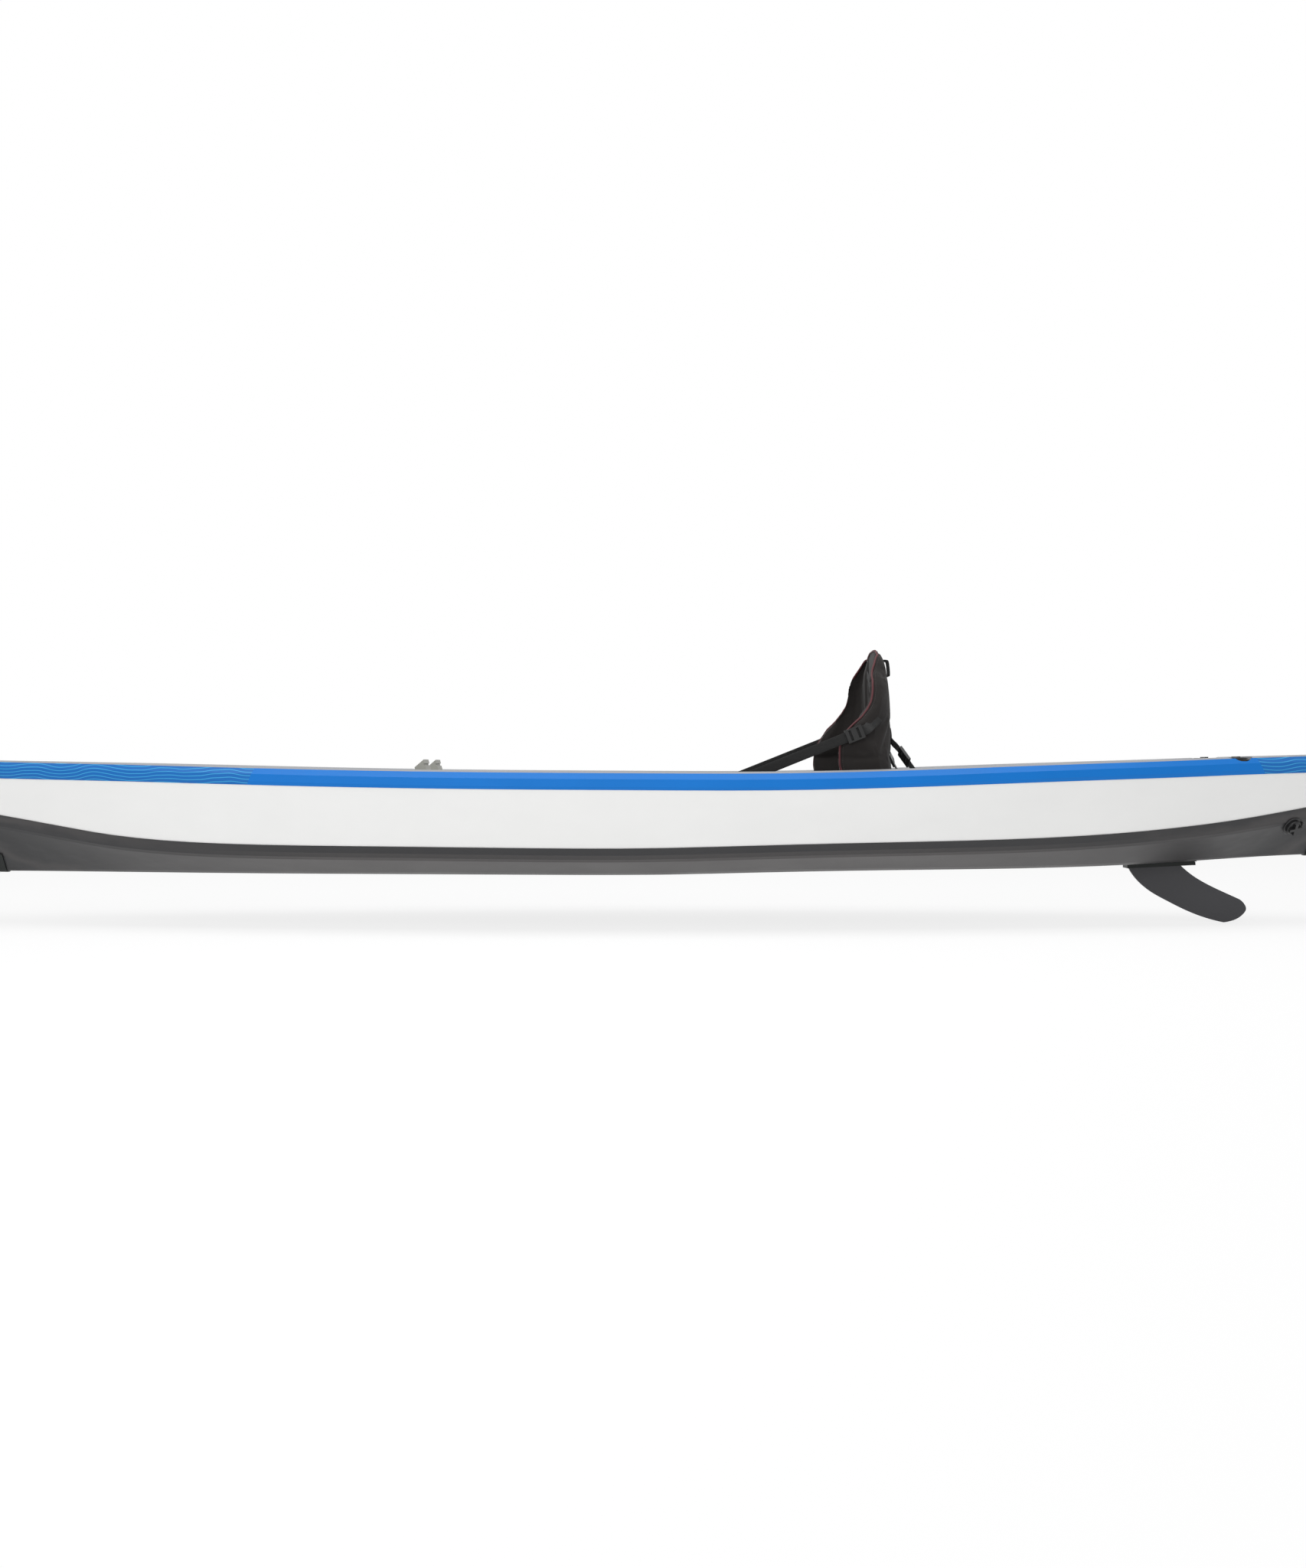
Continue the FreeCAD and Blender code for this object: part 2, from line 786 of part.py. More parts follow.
def coil_path(radius, low, high, turns):
    """A coil about Z, made of one pair of arcs for each half turn."""
    halves = round(turns * 2)
    climb = (high - low) / (turns * math.tau)
    knots = []
    for i in range(halves + 1):
        angle = math.pi * i
        place = Vector(radius * math.cos(angle), radius * math.sin(angle), low + climb * angle)
        way = Vector(-radius * math.sin(angle), radius * math.cos(angle), climb).normalize()
        knots.append((place, way))
    edges = []
    for (one, one_way), (two, two_way) in zip(knots, knots[1:]):
        edges += biarc(one, one_way, two, two_way)
    return Part.Wire(edges)


def least_gap(path, thick, turns):
    """The smallest space that a wound tube leaves between its own turns, on points."""
    per_turn = COIL_POINTS
    points = path.discretize(Number=round(per_turn * turns) + 1)
    spans = [one.distanceToPoint(two) for i, one in enumerate(points)
             for two in points[i + per_turn // 2:]]
    return min(spans) - thick


COIL_POINTS = 36


def valve_spring():
    """A coil of square wire between the spokes and the poppet's button."""
    wire, gap = size("spring_wire_radius"), size("running_gap")
    low = -size("valve_seat_depth") + wire + gap
    high = -size("poppet_button_depth") - size("poppet_button_thickness") - wire - gap
    path = coil_path(size("spring_radius"), low, high, size("spring_turns"))
    print("valve spring: least gap", round(least_gap(path, 2 * wire, size("spring_turns")), 2))
    start = Vector(size("spring_radius"), 0, low)
    corners = [start + Vector(wire * u, 0, wire * v)
               for u, v in ((1, 0), (0, 1), (-1, 0), (0, -1), (1, 0))]
    return path.makePipeShell([Part.makePolygon(corners)], True)


def cap(label, kind):
    """A cap with a sealing neck and finger bars. Its Z = 0 is the top of the flange."""
    under = "sizes.tether_thickness + 2 * sizes.seat_gap"
    top = f"{under} + sizes.{kind}_cap_thickness"
    body = turned(label, [
        ("0", top),
        (f"sizes.{kind}_cap_radius - sizes.cap_rim_radius", top),
        (f"sizes.{kind}_cap_radius", f"{top} - sizes.cap_rim_radius"),
        (f"sizes.{kind}_cap_radius", under),
        (f"sizes.{kind}_neck_radius", under),
        (f"sizes.{kind}_neck_radius", "sizes.seat_gap"),
        ("0", "sizes.seat_gap"),
    ])
    bar = pad(body, outline_sketch(body, "XY_Plane", box_corners(
        "0", f"sizes.{kind}_bar_length", "-sizes.cap_bar_width / 2", "sizes.cap_bar_width / 2")),
        f"sizes.{kind}_bar_height + sizes.cap_rim_radius", f"{top} - sizes.cap_rim_radius")
    doc.recompute()
    ring_pattern(body, bar, f"sizes.{kind}_cap_bars")
    return body


def tether(label, kind):
    """A flexible strap: a holed end round the cap's neck, and an eye on the flange's pin."""
    body = new_body(label)
    ring = f"sizes.{kind}_neck_radius + 2 * sizes.seat_gap"
    half = "sizes.hinge_lug_spread / 2 - sizes.seat_gap"
    holed = outline_sketch(body, "XY_Plane", octagon_corners(
        "0", "0", f"{ring} + sizes.tether_ring_width"))
    add_circle(holed, "0", "0", ring)
    pad(body, holed, "sizes.tether_thickness", "sizes.seat_gap")
    pad(body, outline_sketch(body, "XY_Plane", box_corners(
        f"{ring} + sizes.tether_ring_width / 2", f"sizes.{kind}_hinge_offset",
        f"-({half})", half)), "sizes.tether_thickness", "sizes.seat_gap")
    centre = (f"sizes.{kind}_hinge_offset", "sizes.hinge_height")
    pad(body, outline_sketch(body, "XZ_Plane", octagon_corners(
        *centre, "sizes.hinge_eye_radius")), f"2 * ({half})", both_ways=True)
    pocket(body, circle_sketch(body, "XZ_Plane", [
        centre + ("sizes.hinge_pin_radius + sizes.running_gap",)]),
        "2 * sizes.hinge_lug_spread", both_ways=True)
    return body


def place_valve(name, seat, turned_by):
    """Puts one valve's pieces on the bottom of its pocket."""
    spin = Rotation(Vector(0, 0, 1), turned_by)
    low = Placement(seat, spin)
    high = Placement(seat + Vector(0, 0, size("valve_flange_thickness")), spin)
    valve_body(f"{name}_valve_body").Placement = low
    valve_poppet(f"{name}_valve_poppet").Placement = low
    add_piece(f"{name}_valve_spring", valve_spring()).Placement = low
    tether(f"{name}_valve_tether", "valve").Placement = high
    cap(f"{name}_valve_cap", "valve").Placement = high


PORT_SEAT = valve_top - Vector(0, 0, size("pocket_depth"))
VALVE_SEATS = {
    "port": (PORT_SEAT, 90),
    "starboard": (Vector(PORT_SEAT.x, -PORT_SEAT.y, PORT_SEAT.z), -90),
    "floor": (floor_top - Vector(0, 0, size("floor_pocket_depth")), 180),
}
for name, (seat, spin) in VALVE_SEATS.items():
    place_valve(name, seat, spin)


DRAIN_RING_SHARES = (0.25, 0.5, 0.75, 1)


def skin_frame(x, height):
    """A place on the port side of the skin, with the skin's own outward direction there."""
    reach = size("drain_flange_radius")

    def hit(along, up):
        aim = Vector(x + along, 0, height + up)
        return first_hit(skin, aim - Vector(0, size("beam"), 0), aim)

    middle = hit(0, 0)
    outward = (hit(reach, 0) - hit(-reach, 0)).cross(hit(0, reach) - hit(0, -reach)).normalize()
    outward = outward * (1 if outward.y < 0 else -1)
    under = [hit(share * reach * math.cos(turn_by), share * reach * math.sin(turn_by))
             for share in DRAIN_RING_SHARES
             for turn_by in (step * math.pi / 4 for step in range(8))]
    highest = max((point - middle).dot(outward) for point in under)
    return middle + outward * highest, outward


def drain_flange():
    """The drain's welded flange: its cap seals on the face, its spigot goes in the skin."""
    body = turned("drain_flange", [
        ("sizes.drain_bore_radius", "sizes.drain_flange_thickness"),
        ("sizes.drain_flange_radius - sizes.cap_rim_radius", "sizes.drain_flange_thickness"),
        ("sizes.drain_flange_radius", "sizes.drain_flange_thickness - sizes.cap_rim_radius"),
        ("sizes.drain_flange_radius", "sizes.seat_gap"),
        ("sizes.drain_spigot_radius", "sizes.seat_gap"),
        ("sizes.drain_spigot_radius", "-sizes.drain_spigot_depth"),
        ("sizes.drain_bore_radius", "-sizes.drain_spigot_depth"),
    ])
    add_hinge_lugs(body, "drain")
    return body


drain_middle, drain_outward = skin_frame(size("drain_place"), size("drain_height"))
drain_spin = Rotation(Vector(1, 0, 0), Vector(0, 0, 0), drain_outward, "ZXY")
drain_seat = Placement(drain_middle, drain_spin)
drain_hole = Part.makeCylinder(size("drain_spigot_radius") + size("seat_gap"), size("beam"),
                               drain_middle - drain_outward * size("drain_bore_radius"),
                               drain_outward)
add_piece("bottom_skin", skin.cut(drain_hole))
drain_flange().Placement = drain_seat
drain_high = Placement(drain_middle + drain_outward * size("drain_flange_thickness"), drain_spin)
tether("drain_tether", "drain").Placement = drain_high
cap("drain_cap", "drain").Placement = drain_high


# Skeg. Its own frame lies in the keel line where it sits: X aft along the keel, Z up.

def keel_under(x):
    """The lowest point of the skin at one place along the keel."""
    return first_hit(skin, Vector(x, 0, -size("beam")), Vector(x, 0, size("rim_height")))


SKEG_ROOT = size("skeg_slot_stop") + size("slide_gap") + size("running_gap")
SKEG_RAIL = (size("skeg_base_length") - size("wedge_length") - SKEG_ROOT
             - 2 * size("seat_gap"))
skeg_one = keel_under(size("skeg_place"))
skeg_two = keel_under(size("skeg_place") + size("skeg_base_length"))
SKEG_RISE = math.degrees(math.atan2(skeg_two.z - skeg_one.z, skeg_two.x - skeg_one.x))
skeg_seat = Placement(skeg_one - Vector(0, 0, size("skeg_clearance")),
                      Rotation(Vector(0, 1, 0), -SKEG_RISE))


def skeg_base():
    """A welded flange with a T-slot under it that opens at the back."""
    body = new_body("skeg_base")
    pad(body, outline_sketch(body, "XY_Plane", box_corners(
        "0", "sizes.skeg_base_length",
        "-sizes.skeg_flange_width / 2", "sizes.skeg_flange_width / 2")),
        "sizes.skeg_flange_thickness", "-sizes.skeg_flange_thickness")
    pad(body, outline_sketch(body, "XY_Plane", box_corners(
        "0", "sizes.skeg_base_length",
        "-sizes.skeg_base_width / 2", "sizes.skeg_base_width / 2")),
        "sizes.skeg_base_height", "-sizes.skeg_base_height")
    slot_top = "-(sizes.skeg_base_height - sizes.skeg_lip - sizes.skeg_rail_height)"
    slot = outline_sketch(body, "YZ_Plane", [
        ("-sizes.skeg_rail_width / 2 - sizes.slide_gap", f"{slot_top} + sizes.slide_gap"),
        ("sizes.skeg_rail_width / 2 + sizes.slide_gap", f"{slot_top} + sizes.slide_gap"),
        ("sizes.skeg_rail_width / 2 + sizes.slide_gap",
         f"{slot_top} - sizes.skeg_rail_height - sizes.slide_gap"),
        ("sizes.skeg_slot_width / 2", f"{slot_top} - sizes.skeg_rail_height - sizes.slide_gap"),
        ("sizes.skeg_slot_width / 2", "-sizes.skeg_base_height - sizes.skeg_lip"),
        ("-sizes.skeg_slot_width / 2", "-sizes.skeg_base_height - sizes.skeg_lip"),
        ("-sizes.skeg_slot_width / 2", f"{slot_top} - sizes.skeg_rail_height - sizes.slide_gap"),
        ("-sizes.skeg_rail_width / 2 - sizes.slide_gap",
         f"{slot_top} - sizes.skeg_rail_height - sizes.slide_gap"),
    ])
    pocket(body, slot, "sizes.skeg_base_length", "sizes.skeg_slot_stop", reverse=True)
    return body


# Distance aft of the root as a share of the sweep, and depth as a share of the whole depth
SKEG_EDGE_SHARES = (
    ((0, 0), (0.09, 0.26), (0.20, 0.445), (0.32, 0.59), (0.47, 0.755), (0.67, 0.925), (0.80, 1)),
    ((0.80, 1), (0.91, 0.955), (0.97, 0.88), (1, 0.79), (0.985, 0.70), (0.945, 0.62)),
    ((0.945, 0.62), (0.81, 0.485), (0.66, 0.325), (0.55, 0.18), (0.485, 0.07), (0.45, 0)),
)


def skeg_fin():
    """A raked fin that thins towards its tip, under a rail that slides in the base's slot."""
    def curve(shares):
        points = [Vector(SKEG_ROOT + along * size("skeg_sweep"), 0,
                         -size("skeg_base_height") - size("slide_gap") - deep * size("skeg_depth"))
                  for along, deep in shares]
        line = Part.BSplineCurve()
        line.interpolate(points)
        return line.toShape(), points

    edges = [curve(shares) for shares in SKEG_EDGE_SHARES]
    first, last = edges[0][1][0], edges[-1][1][-1]
    outline = Part.Wire([edge for edge, _ in edges] + [Part.makeLine(last, first)])
    thick = size("skeg_thickness")
    blade = Part.Face(outline).extrude(Vector(0, thick, 0))
    blade.translate(Vector(0, -thick / 2, 0))
    top = first.z
    deep = size("skeg_depth") + size("skeg_lip")
    thin = size("skeg_tip_thickness") / 2
    taper = Part.Face(Part.makePolygon([
        Vector(0, -thick / 2, top), Vector(0, thick / 2, top),
        Vector(0, thin, top - deep), Vector(0, -thin, top - deep), Vector(0, -thick / 2, top)]))
    wedge = taper.extrude(Vector(SKEG_ROOT + size("skeg_sweep") * 2, 0, 0))
    blade = blade.common(wedge)
    neck = Part.makeBox(SKEG_RAIL, thick, size("skeg_lip") + size("slide_gap") * 3,
                        Vector(SKEG_ROOT, -thick / 2, top - size("slide_gap")))
    rail_low = -size("skeg_base_height") + size("skeg_lip")
    rail = Part.makeBox(SKEG_RAIL, size("skeg_rail_width"),
                        size("skeg_rail_height"),
                        Vector(SKEG_ROOT, -size("skeg_rail_width") / 2, rail_low))
    return blade.fuse(neck).fuse(rail).removeSplitter()


def skeg_wedge():
    """A small wedge pushed into the slot behind the fin, with a lip to pull it out by."""
    body = new_body("skeg_wedge")
    back = "sizes.skeg_base_length - sizes.wedge_length"
    low = "-sizes.skeg_base_height + sizes.skeg_lip"
    pad(body, outline_sketch(body, "XY_Plane", box_corners(
        back, f"{back} + sizes.wedge_length + sizes.wedge_head_length",
        "-sizes.skeg_rail_width / 2", "sizes.skeg_rail_width / 2")),
        "sizes.skeg_rail_height", low)
    pad(body, outline_sketch(body, "XY_Plane", box_corners(
        "sizes.skeg_base_length + sizes.slide_gap",
        "sizes.skeg_base_length + sizes.wedge_head_length",
        "-sizes.skeg_rail_width / 2", "sizes.skeg_rail_width / 2")),
        "sizes.wedge_head_height", f"{low} + sizes.skeg_rail_height - sizes.wedge_head_height")
    return body


skeg_base().Placement = skeg_seat
add_piece("skeg_fin", skeg_fin()).Placement = skeg_seat
skeg_wedge().Placement = skeg_seat


# End mouldings: a keel shoe that laps over the skin and runs into a solid nose

MOULDING_START_SHARES = {"bow": -0.842, "stern": 0.85}
NOSE_SECTION_SHARES = ((0, 1), (0.55, 0.72), (1, 0.22))
LAP_LOW_SHARE = 0.35
NOSE_LUG_SHARE = 0.42


def shoe_strip(here):
    """The shoe's outline at a station: a strip that runs over the skin at a small clearance."""
    path, radii = skin_path(here), skin_radii(here)
    out = size("skin_thickness") + size("moulding_gap")
    moved = offset_lines(path, out, False)
    radii = [radius + out if radius else 0 for radius in radii]
    return strip_points(moved, radii, size("moulding_wall"), SKIN_CHORDS)


def nose(end, way):
    """The solid tip ahead of the chambers, from the keel up to the rim."""
    start = end.x + way * size("fabric_gap")
    reach = way * size("hull_length") / 2 - start
    out = size("skin_thickness") + size("moulding_gap") + size("moulding_wall")
    wires = []
    for along, width in NOSE_SECTION_SHARES:
        keel = end.keel - size("moulding_gap") - size("moulding_wall")
        keel += along ** 2 * size("nose_rake")
        half = [width * (keel_corner(end) + size("moulding_wall")),
                width * (end.low + out), width * (end.top + size("nose_cover"))]
        heights = [keel, max(end.foot, keel + size("nose_rake") / 2), end.rim]
        side = list(zip(half, heights))
        points = [(-y, z) for y, z in side] + side[::-1]
        wires.append(loop_wire(points, at_station(start + along * reach)))
    return Part.makeLoft(wires, True, False), start, reach


def end_moulding(end_name):
    way = -1 if end_name == "bow" else 1
    first = MOULDING_START_SHARES[end_name]
    rows = sorted(STATIONS, key=lambda s: way * s.along)
    here, far = between(first * size("hull_length") / 2), rows[-1]
    wires = [loop_wire(shoe_strip(s), at_station(s.x)) for s in rows]
    shoe = Part.makeLoft(wires, True, False)
    lip = Part.Face(wires[-1]).extrude(Vector(way * size("moulding_lap"), 0, 0))
    low = here.keel + LAP_LOW_SHARE * (here.foot - here.keel)
    clear = size("hull_length")
    side = [(-way * clear, -clear), (here.x, -clear), (here.x, low), (far.x, far.foot),
            (way * clear, far.foot), (way * clear, clear), (-way * clear, clear)]
    outline = [Vector(x, -size("beam"), z) for x, z in side + side[:1]]
    above = Part.Face(Part.makePolygon(outline)).extrude(Vector(0, 2 * size("beam"), 0))
    shoe, lip = shoe.cut(above), lip.cut(above)
    tip, start, reach = nose(far, way)
    x_lug = start + NOSE_LUG_SHARE * reach
    lug = Part.makeBox(size("lug_length"), size("lug_width"), size("lug_height"),
                       Vector(x_lug - size("lug_length") / 2, -size("lug_width") / 2,
                              far.rim - size("moulding_wall")))
    pin_place = Vector(x_lug, 0, far.rim + size("lug_pin_height") - size("moulding_wall"))
    hole = Part.makeCylinder(size("handle_pin_radius"), size("beam"),
                             pin_place - Vector(0, size("beam") / 2, 0), Vector(0, 1, 0))
    shape = shoe.fuse([lip, tip, lug]).cut(hole).removeSplitter()
    return shape, pin_place


# Carry handles: a webbing loop that swings on a pin through the nose's lug, with a round grip

def handle_strap(label):
    """Flat webbing that spreads from two eyes at the pin to the bar inside the grip."""
    body = new_body(label)
    inner = "sizes.lug_width / 2 + sizes.seat_gap"
    outer = f"{inner} + sizes.handle_eye_width"
    near = "sizes.handle_reach - sizes.webbing_width / 2"
    wide = "sizes.handle_half_width"
    clear = "sizes.handle_eye_radius"
    pad(body, outline_sketch(body, "XY_Plane", [
        ("0", f"-({outer})"), (clear, f"-({outer})"), (near, f"-{wide}"),
        (f"{near} + sizes.webbing_width", f"-{wide}"),
        (f"{near} + sizes.webbing_width", wide), (near, wide), (clear, outer),
        ("0", outer)]), "sizes.webbing_thickness", both_ways=True)
    pad(body, outline_sketch(body, "XZ_Plane", octagon_corners(
        "0", "0", "sizes.handle_eye_radius")), f"2 * ({outer})", both_ways=True)
    thin = f"{wide} - sizes.handle_eye_width"
    gap_start = "-sizes.handle_eye_radius * 2"
    pocket(body, outline_sketch(body, "XY_Plane", [
        (gap_start, f"-({inner})"), ("sizes.lug_length / 2 + sizes.seat_gap", f"-({inner})"),
        (near, f"-({thin})"), (near, thin),
        ("sizes.lug_length / 2 + sizes.seat_gap", inner), (gap_start, inner)]),
        "4 * sizes.handle_eye_radius", both_ways=True)
    pocket(body, circle_sketch(body, "XZ_Plane", [
        ("0", "0", "sizes.handle_pin_radius + sizes.running_gap")]),
        "4 * sizes.lug_width", both_ways=True)
    return body


def handle_pin(label):
    """A pin pressed through the lug that stands out of the strap's eyes on both sides."""
    half = ("sizes.lug_width / 2 + sizes.handle_eye_width + sizes.seat_gap"
            " + sizes.handle_pin_play")
    return turned(label, [
        ("0", half), ("sizes.handle_pin_radius", half),
        ("sizes.handle_pin_radius", f"-({half})"), ("0", f"-({half})")])


def handle_grip(label):
    """A round grip with chamfered ends and a slot along it for the webbing."""
    half, radius = "sizes.grip_length / 2", "sizes.grip_radius"
    body = turned(label, [
        ("0", half), (f"{radius} - sizes.grip_chamfer", half),
        (radius, f"{half} - sizes.grip_chamfer"), (radius, f"-({half} - sizes.grip_chamfer)"),
        (f"{radius} - sizes.grip_chamfer", f"-{half}"), ("0", f"-{half}")])
    room = "sizes.webbing_width / 2 + sizes.seat_gap"
    thin = "sizes.webbing_thickness / 2 + sizes.seat_gap"
    pocket(body, outline_sketch(body, "XY_Plane", box_corners(
        f"-({room})", room, f"-({thin})", thin)), "2 * sizes.grip_length", both_ways=True)
    return body


ALONG_Y = Rotation(Vector(1, 0, 0), -90)
HANDLE_PINS = {}
for end_name, spin in (("bow", 0), ("stern", 180)):
    moulding, pin_place = end_moulding(end_name)
    HANDLE_PINS[end_name] = pin_place
    add_piece(f"{end_name}_moulding", moulding)
    facing = Rotation(Vector(0, 0, 1), spin)
    handle_pin(f"{end_name}_handle_pin").Placement = Placement(pin_place, ALONG_Y)
    handle_strap(f"{end_name}_handle_strap").Placement = Placement(pin_place, facing)
    grip_place = pin_place + facing.multVec(Vector(size("handle_reach"), 0, 0))
    handle_grip(f"{end_name}_handle_grip").Placement = Placement(grip_place, ALONG_Y)


# Foot brace: a base plate that slides along two floor straps and carries two folding pedals


def floor_at(x):
    """The top of the floor on the middle line."""
    return first_hit(floor, Vector(x, 0, size("beam")), Vector(x, 0, floor_bottom(between(x))))


brace_floor = floor_at(size("brace_place"))
STRAP_LEVEL = "sizes.fabric_gap"


def brace_straps():
    """Two webbing straps along the floor, each welded down by a patch at both ends."""
    body = new_body("brace_straps")
    half = "sizes.brace_strap_length / 2"
    for side in (-1, 1):
        middle = f"{side} * sizes.brace_strap_spread"
        pad(body, outline_sketch(body, "XY_Plane", box_corners(
            f"-{half}", half, f"{middle} - sizes.brace_strap_width / 2",
            f"{middle} + sizes.brace_strap_width / 2")),
            "sizes.strap_thickness", STRAP_LEVEL)
    for end in ("-1", "1"):
        middle = f"{end} * (sizes.brace_strap_length / 2 - sizes.brace_patch_length / 2)"
        pad(body, outline_sketch(body, "XY_Plane", box_corners(
            f"{middle} - sizes.brace_patch_length / 2",
            f"{middle} + sizes.brace_patch_length / 2",
            "-sizes.brace_strap_spread - sizes.brace_patch_width / 2",
            "sizes.brace_strap_spread + sizes.brace_patch_width / 2")),
            "sizes.brace_patch_thickness", f"{STRAP_LEVEL} + sizes.strap_thickness - "
            "sizes.brace_patch_thickness / 2")
    return body


def brace_base():
    """The plate: grooves under it for the straps, and lugs on it for the pedals' pins."""
    body = new_body("brace_base")
    low = "sizes.fabric_gap"
    pad(body, outline_sketch(body, "XY_Plane", box_corners(
        "-sizes.brace_base_length / 2", "sizes.brace_base_length / 2",
        "-sizes.brace_base_width / 2", "sizes.brace_base_width / 2")),
        "sizes.brace_base_thickness", low)
    pin = "sizes.brace_base_thickness + sizes.pedal_pin_height"
    top = "sizes.brace_base_thickness"
    for side in (-1, 1):
        for edge in (-1, 1):
            inner = "sizes.pedal_width / 2 + sizes.seat_gap"
            near = (f"{side} * sizes.pedal_spread + {edge} * ({inner})"
                    f" + ({edge} - 1) / 2 * sizes.pedal_lug_thickness")
            pad(body, outline_sketch(body, "XZ_Plane", [
                ("-sizes.pedal_eye_radius * 2", top), ("sizes.pedal_eye_radius * 2", top),
                ("sizes.pedal_eye_radius / 2", f"{pin} + sizes.pedal_eye_radius"),
                ("-sizes.pedal_eye_radius / 2", f"{pin} + sizes.pedal_eye_radius")]),
                "sizes.pedal_lug_thickness",
                f"-({near}) - sizes.pedal_lug_thickness")
    pocket(body, circle_sketch(body, "XZ_Plane", [("0", pin, "sizes.pedal_pin_radius")]),
           "2 * sizes.brace_base_width", both_ways=True)
    groove = "(sizes.brace_strap_width / 2 + sizes.groove_gap)"
    for side in (-1, 1):
        middle = f"{side} * sizes.brace_strap_spread"
        pocket(body, outline_sketch(body, "YZ_Plane", box_corners(
            f"{middle} - {groove}", f"{middle} + {groove}", "-sizes.brace_base_thickness",
            "sizes.fabric_gap + sizes.strap_thickness + sizes.groove_gap")),
            "2 * sizes.brace_base_length", both_ways=True)
    return body


def pedal(label):
    """A leaning foot plate with a cross-ribbed face, a hollow back and an eye for its pin."""
    body = new_body(label)
    pad(body, outline_sketch(body, "XZ_Plane", [
        ("0", "0"), ("0", "sizes.pedal_height"),
        ("-sizes.pedal_thickness", "sizes.pedal_height - sizes.pedal_toe"),
        ("-sizes.pedal_thickness", "sizes.pedal_eye_radius"),
        ("-sizes.pedal_thickness / 2", "-sizes.pedal_eye_radius / 2")]),
        "sizes.pedal_width", both_ways=True)
    pad(body, circle_sketch(body, "XZ_Plane", [
        ("-sizes.pedal_thickness / 2", "0", "sizes.pedal_eye_radius")]),
        "sizes.pedal_width", both_ways=True)
    pocket(body, outline_sketch(body, "XZ_Plane", box_corners(
        "-sizes.pedal_thickness * 2", "-sizes.pedal_thickness + sizes.pedal_hollow",
        "2 * sizes.pedal_eye_radius",
        "sizes.pedal_height - sizes.pedal_toe - 2 * sizes.pedal_wall")),
        "sizes.pedal_width - 2 * sizes.pedal_wall", both_ways=True)
    groove = pocket(body, outline_sketch(body, "XZ_Plane", box_corners(
        "-sizes.pedal_groove_depth", "sizes.pedal_groove_depth", "sizes.pedal_groove_start",
        "sizes.pedal_groove_start + sizes.pedal_groove_width")),
        "2 * sizes.pedal_width", both_ways=True)
    row_pattern(body, groove, "Z_Axis", "sizes.pedal_groove_span", "sizes.pedal_grooves")
    pocket(body, circle_sketch(body, "XZ_Plane", [
        ("-sizes.pedal_thickness / 2", "0", "sizes.pedal_pin_radius + sizes.running_gap")]),
        "2 * sizes.pedal_width", both_ways=True)
    return body


brace_straps().Placement.Base = brace_floor
brace_base().Placement.Base = brace_floor
PIN_HEIGHT = size("brace_base_thickness") + size("pedal_pin_height")
pins = []
for name, side in (("port", -1), ("starboard", 1)):
    pin_place = brace_floor + Vector(0, side * size("pedal_spread"), PIN_HEIGHT)
    lean = Rotation(Vector(0, 1, 0), -size("pedal_lean"))
    middle = lean.multVec(Vector(size("pedal_thickness") / 2, 0, 0))
    pedal(f"{name}_pedal").Placement = Placement(pin_place + middle, lean)
    pin_length = size("pedal_width") + 2 * (size("pedal_lug_thickness") + size("seat_gap"))
    pins.append(Part.makeCylinder(size("pedal_pin_radius"), pin_length,
                                  pin_place - Vector(0, pin_length / 2, 0), Vector(0, 1, 0)))
add_piece("pedal_pins", Part.makeCompound(pins))


# Seat: cushion, winged backrest, rear webbing loop, straps with buckles, and rings on the walls

CUSHION_SECTION_SHARES = ((0, 0.88, 0.72), (0.08, 0.96, 0.93), (0.35, 1, 1), (0.7, 1, 1),
                          (0.92, 0.97, 0.93), (1, 0.92, 0.8))


def cushion():
    """A flat pad, crowned across and thinner at its front and back edges."""
    wires = []
    for along, wide, thick in CUSHION_SECTION_SHARES:
        x = size("seat_place") + along * size("cushion_length")
        low = floor_at(x).z + size("fabric_gap")
        y, z = wide * size("cushion_half_width"), low + thick * size("cushion_thickness")
        corners = [(-y, low), (-y, z), (0, z + size("cushion_crown")), (y, z), (y, low)]
        edge = thick * size("cushion_edge_radius")
        points = rounded_path(corners, [edge, edge, 0, edge, edge], ROUND_CHORDS, True)
        wires.append(loop_wire(points, at_station(x)))
    return Part.makeLoft(wires, True, False)


# Backrest levels: rise, then half width, forward reach and thickness, each as a share
BACK_LEVEL_SHARES = (
    (0, 0.93, 0.84, 0.6),
    (0.1, 0.97, 0.90, 0.9),
    (0.28, 1, 0.93, 1),
    (0.42, 1, 0.90, 1),
    (0.54, 0.985, 0.79, 1),
    (0.69, 0.95, 0.44, 0.95),
    (0.8, 0.87, 0.36, 0.9),
    (0.9, 0.77, 0.28, 0.8),
    (0.96, 0.66, 0.2, 0.68),
    (1, 0.54, 0.13, 0.5),
)

back_pivot = floor_at(size("back_pivot_place")) + Vector(0, 0, size("back_pivot_height"))


def back_rear(rise_share):
    """Where the back's rear face lies at a height: it leans towards the bow."""
    return back_pivot.x + size("back_pivot_inset") - rise_share * size("back_lean")


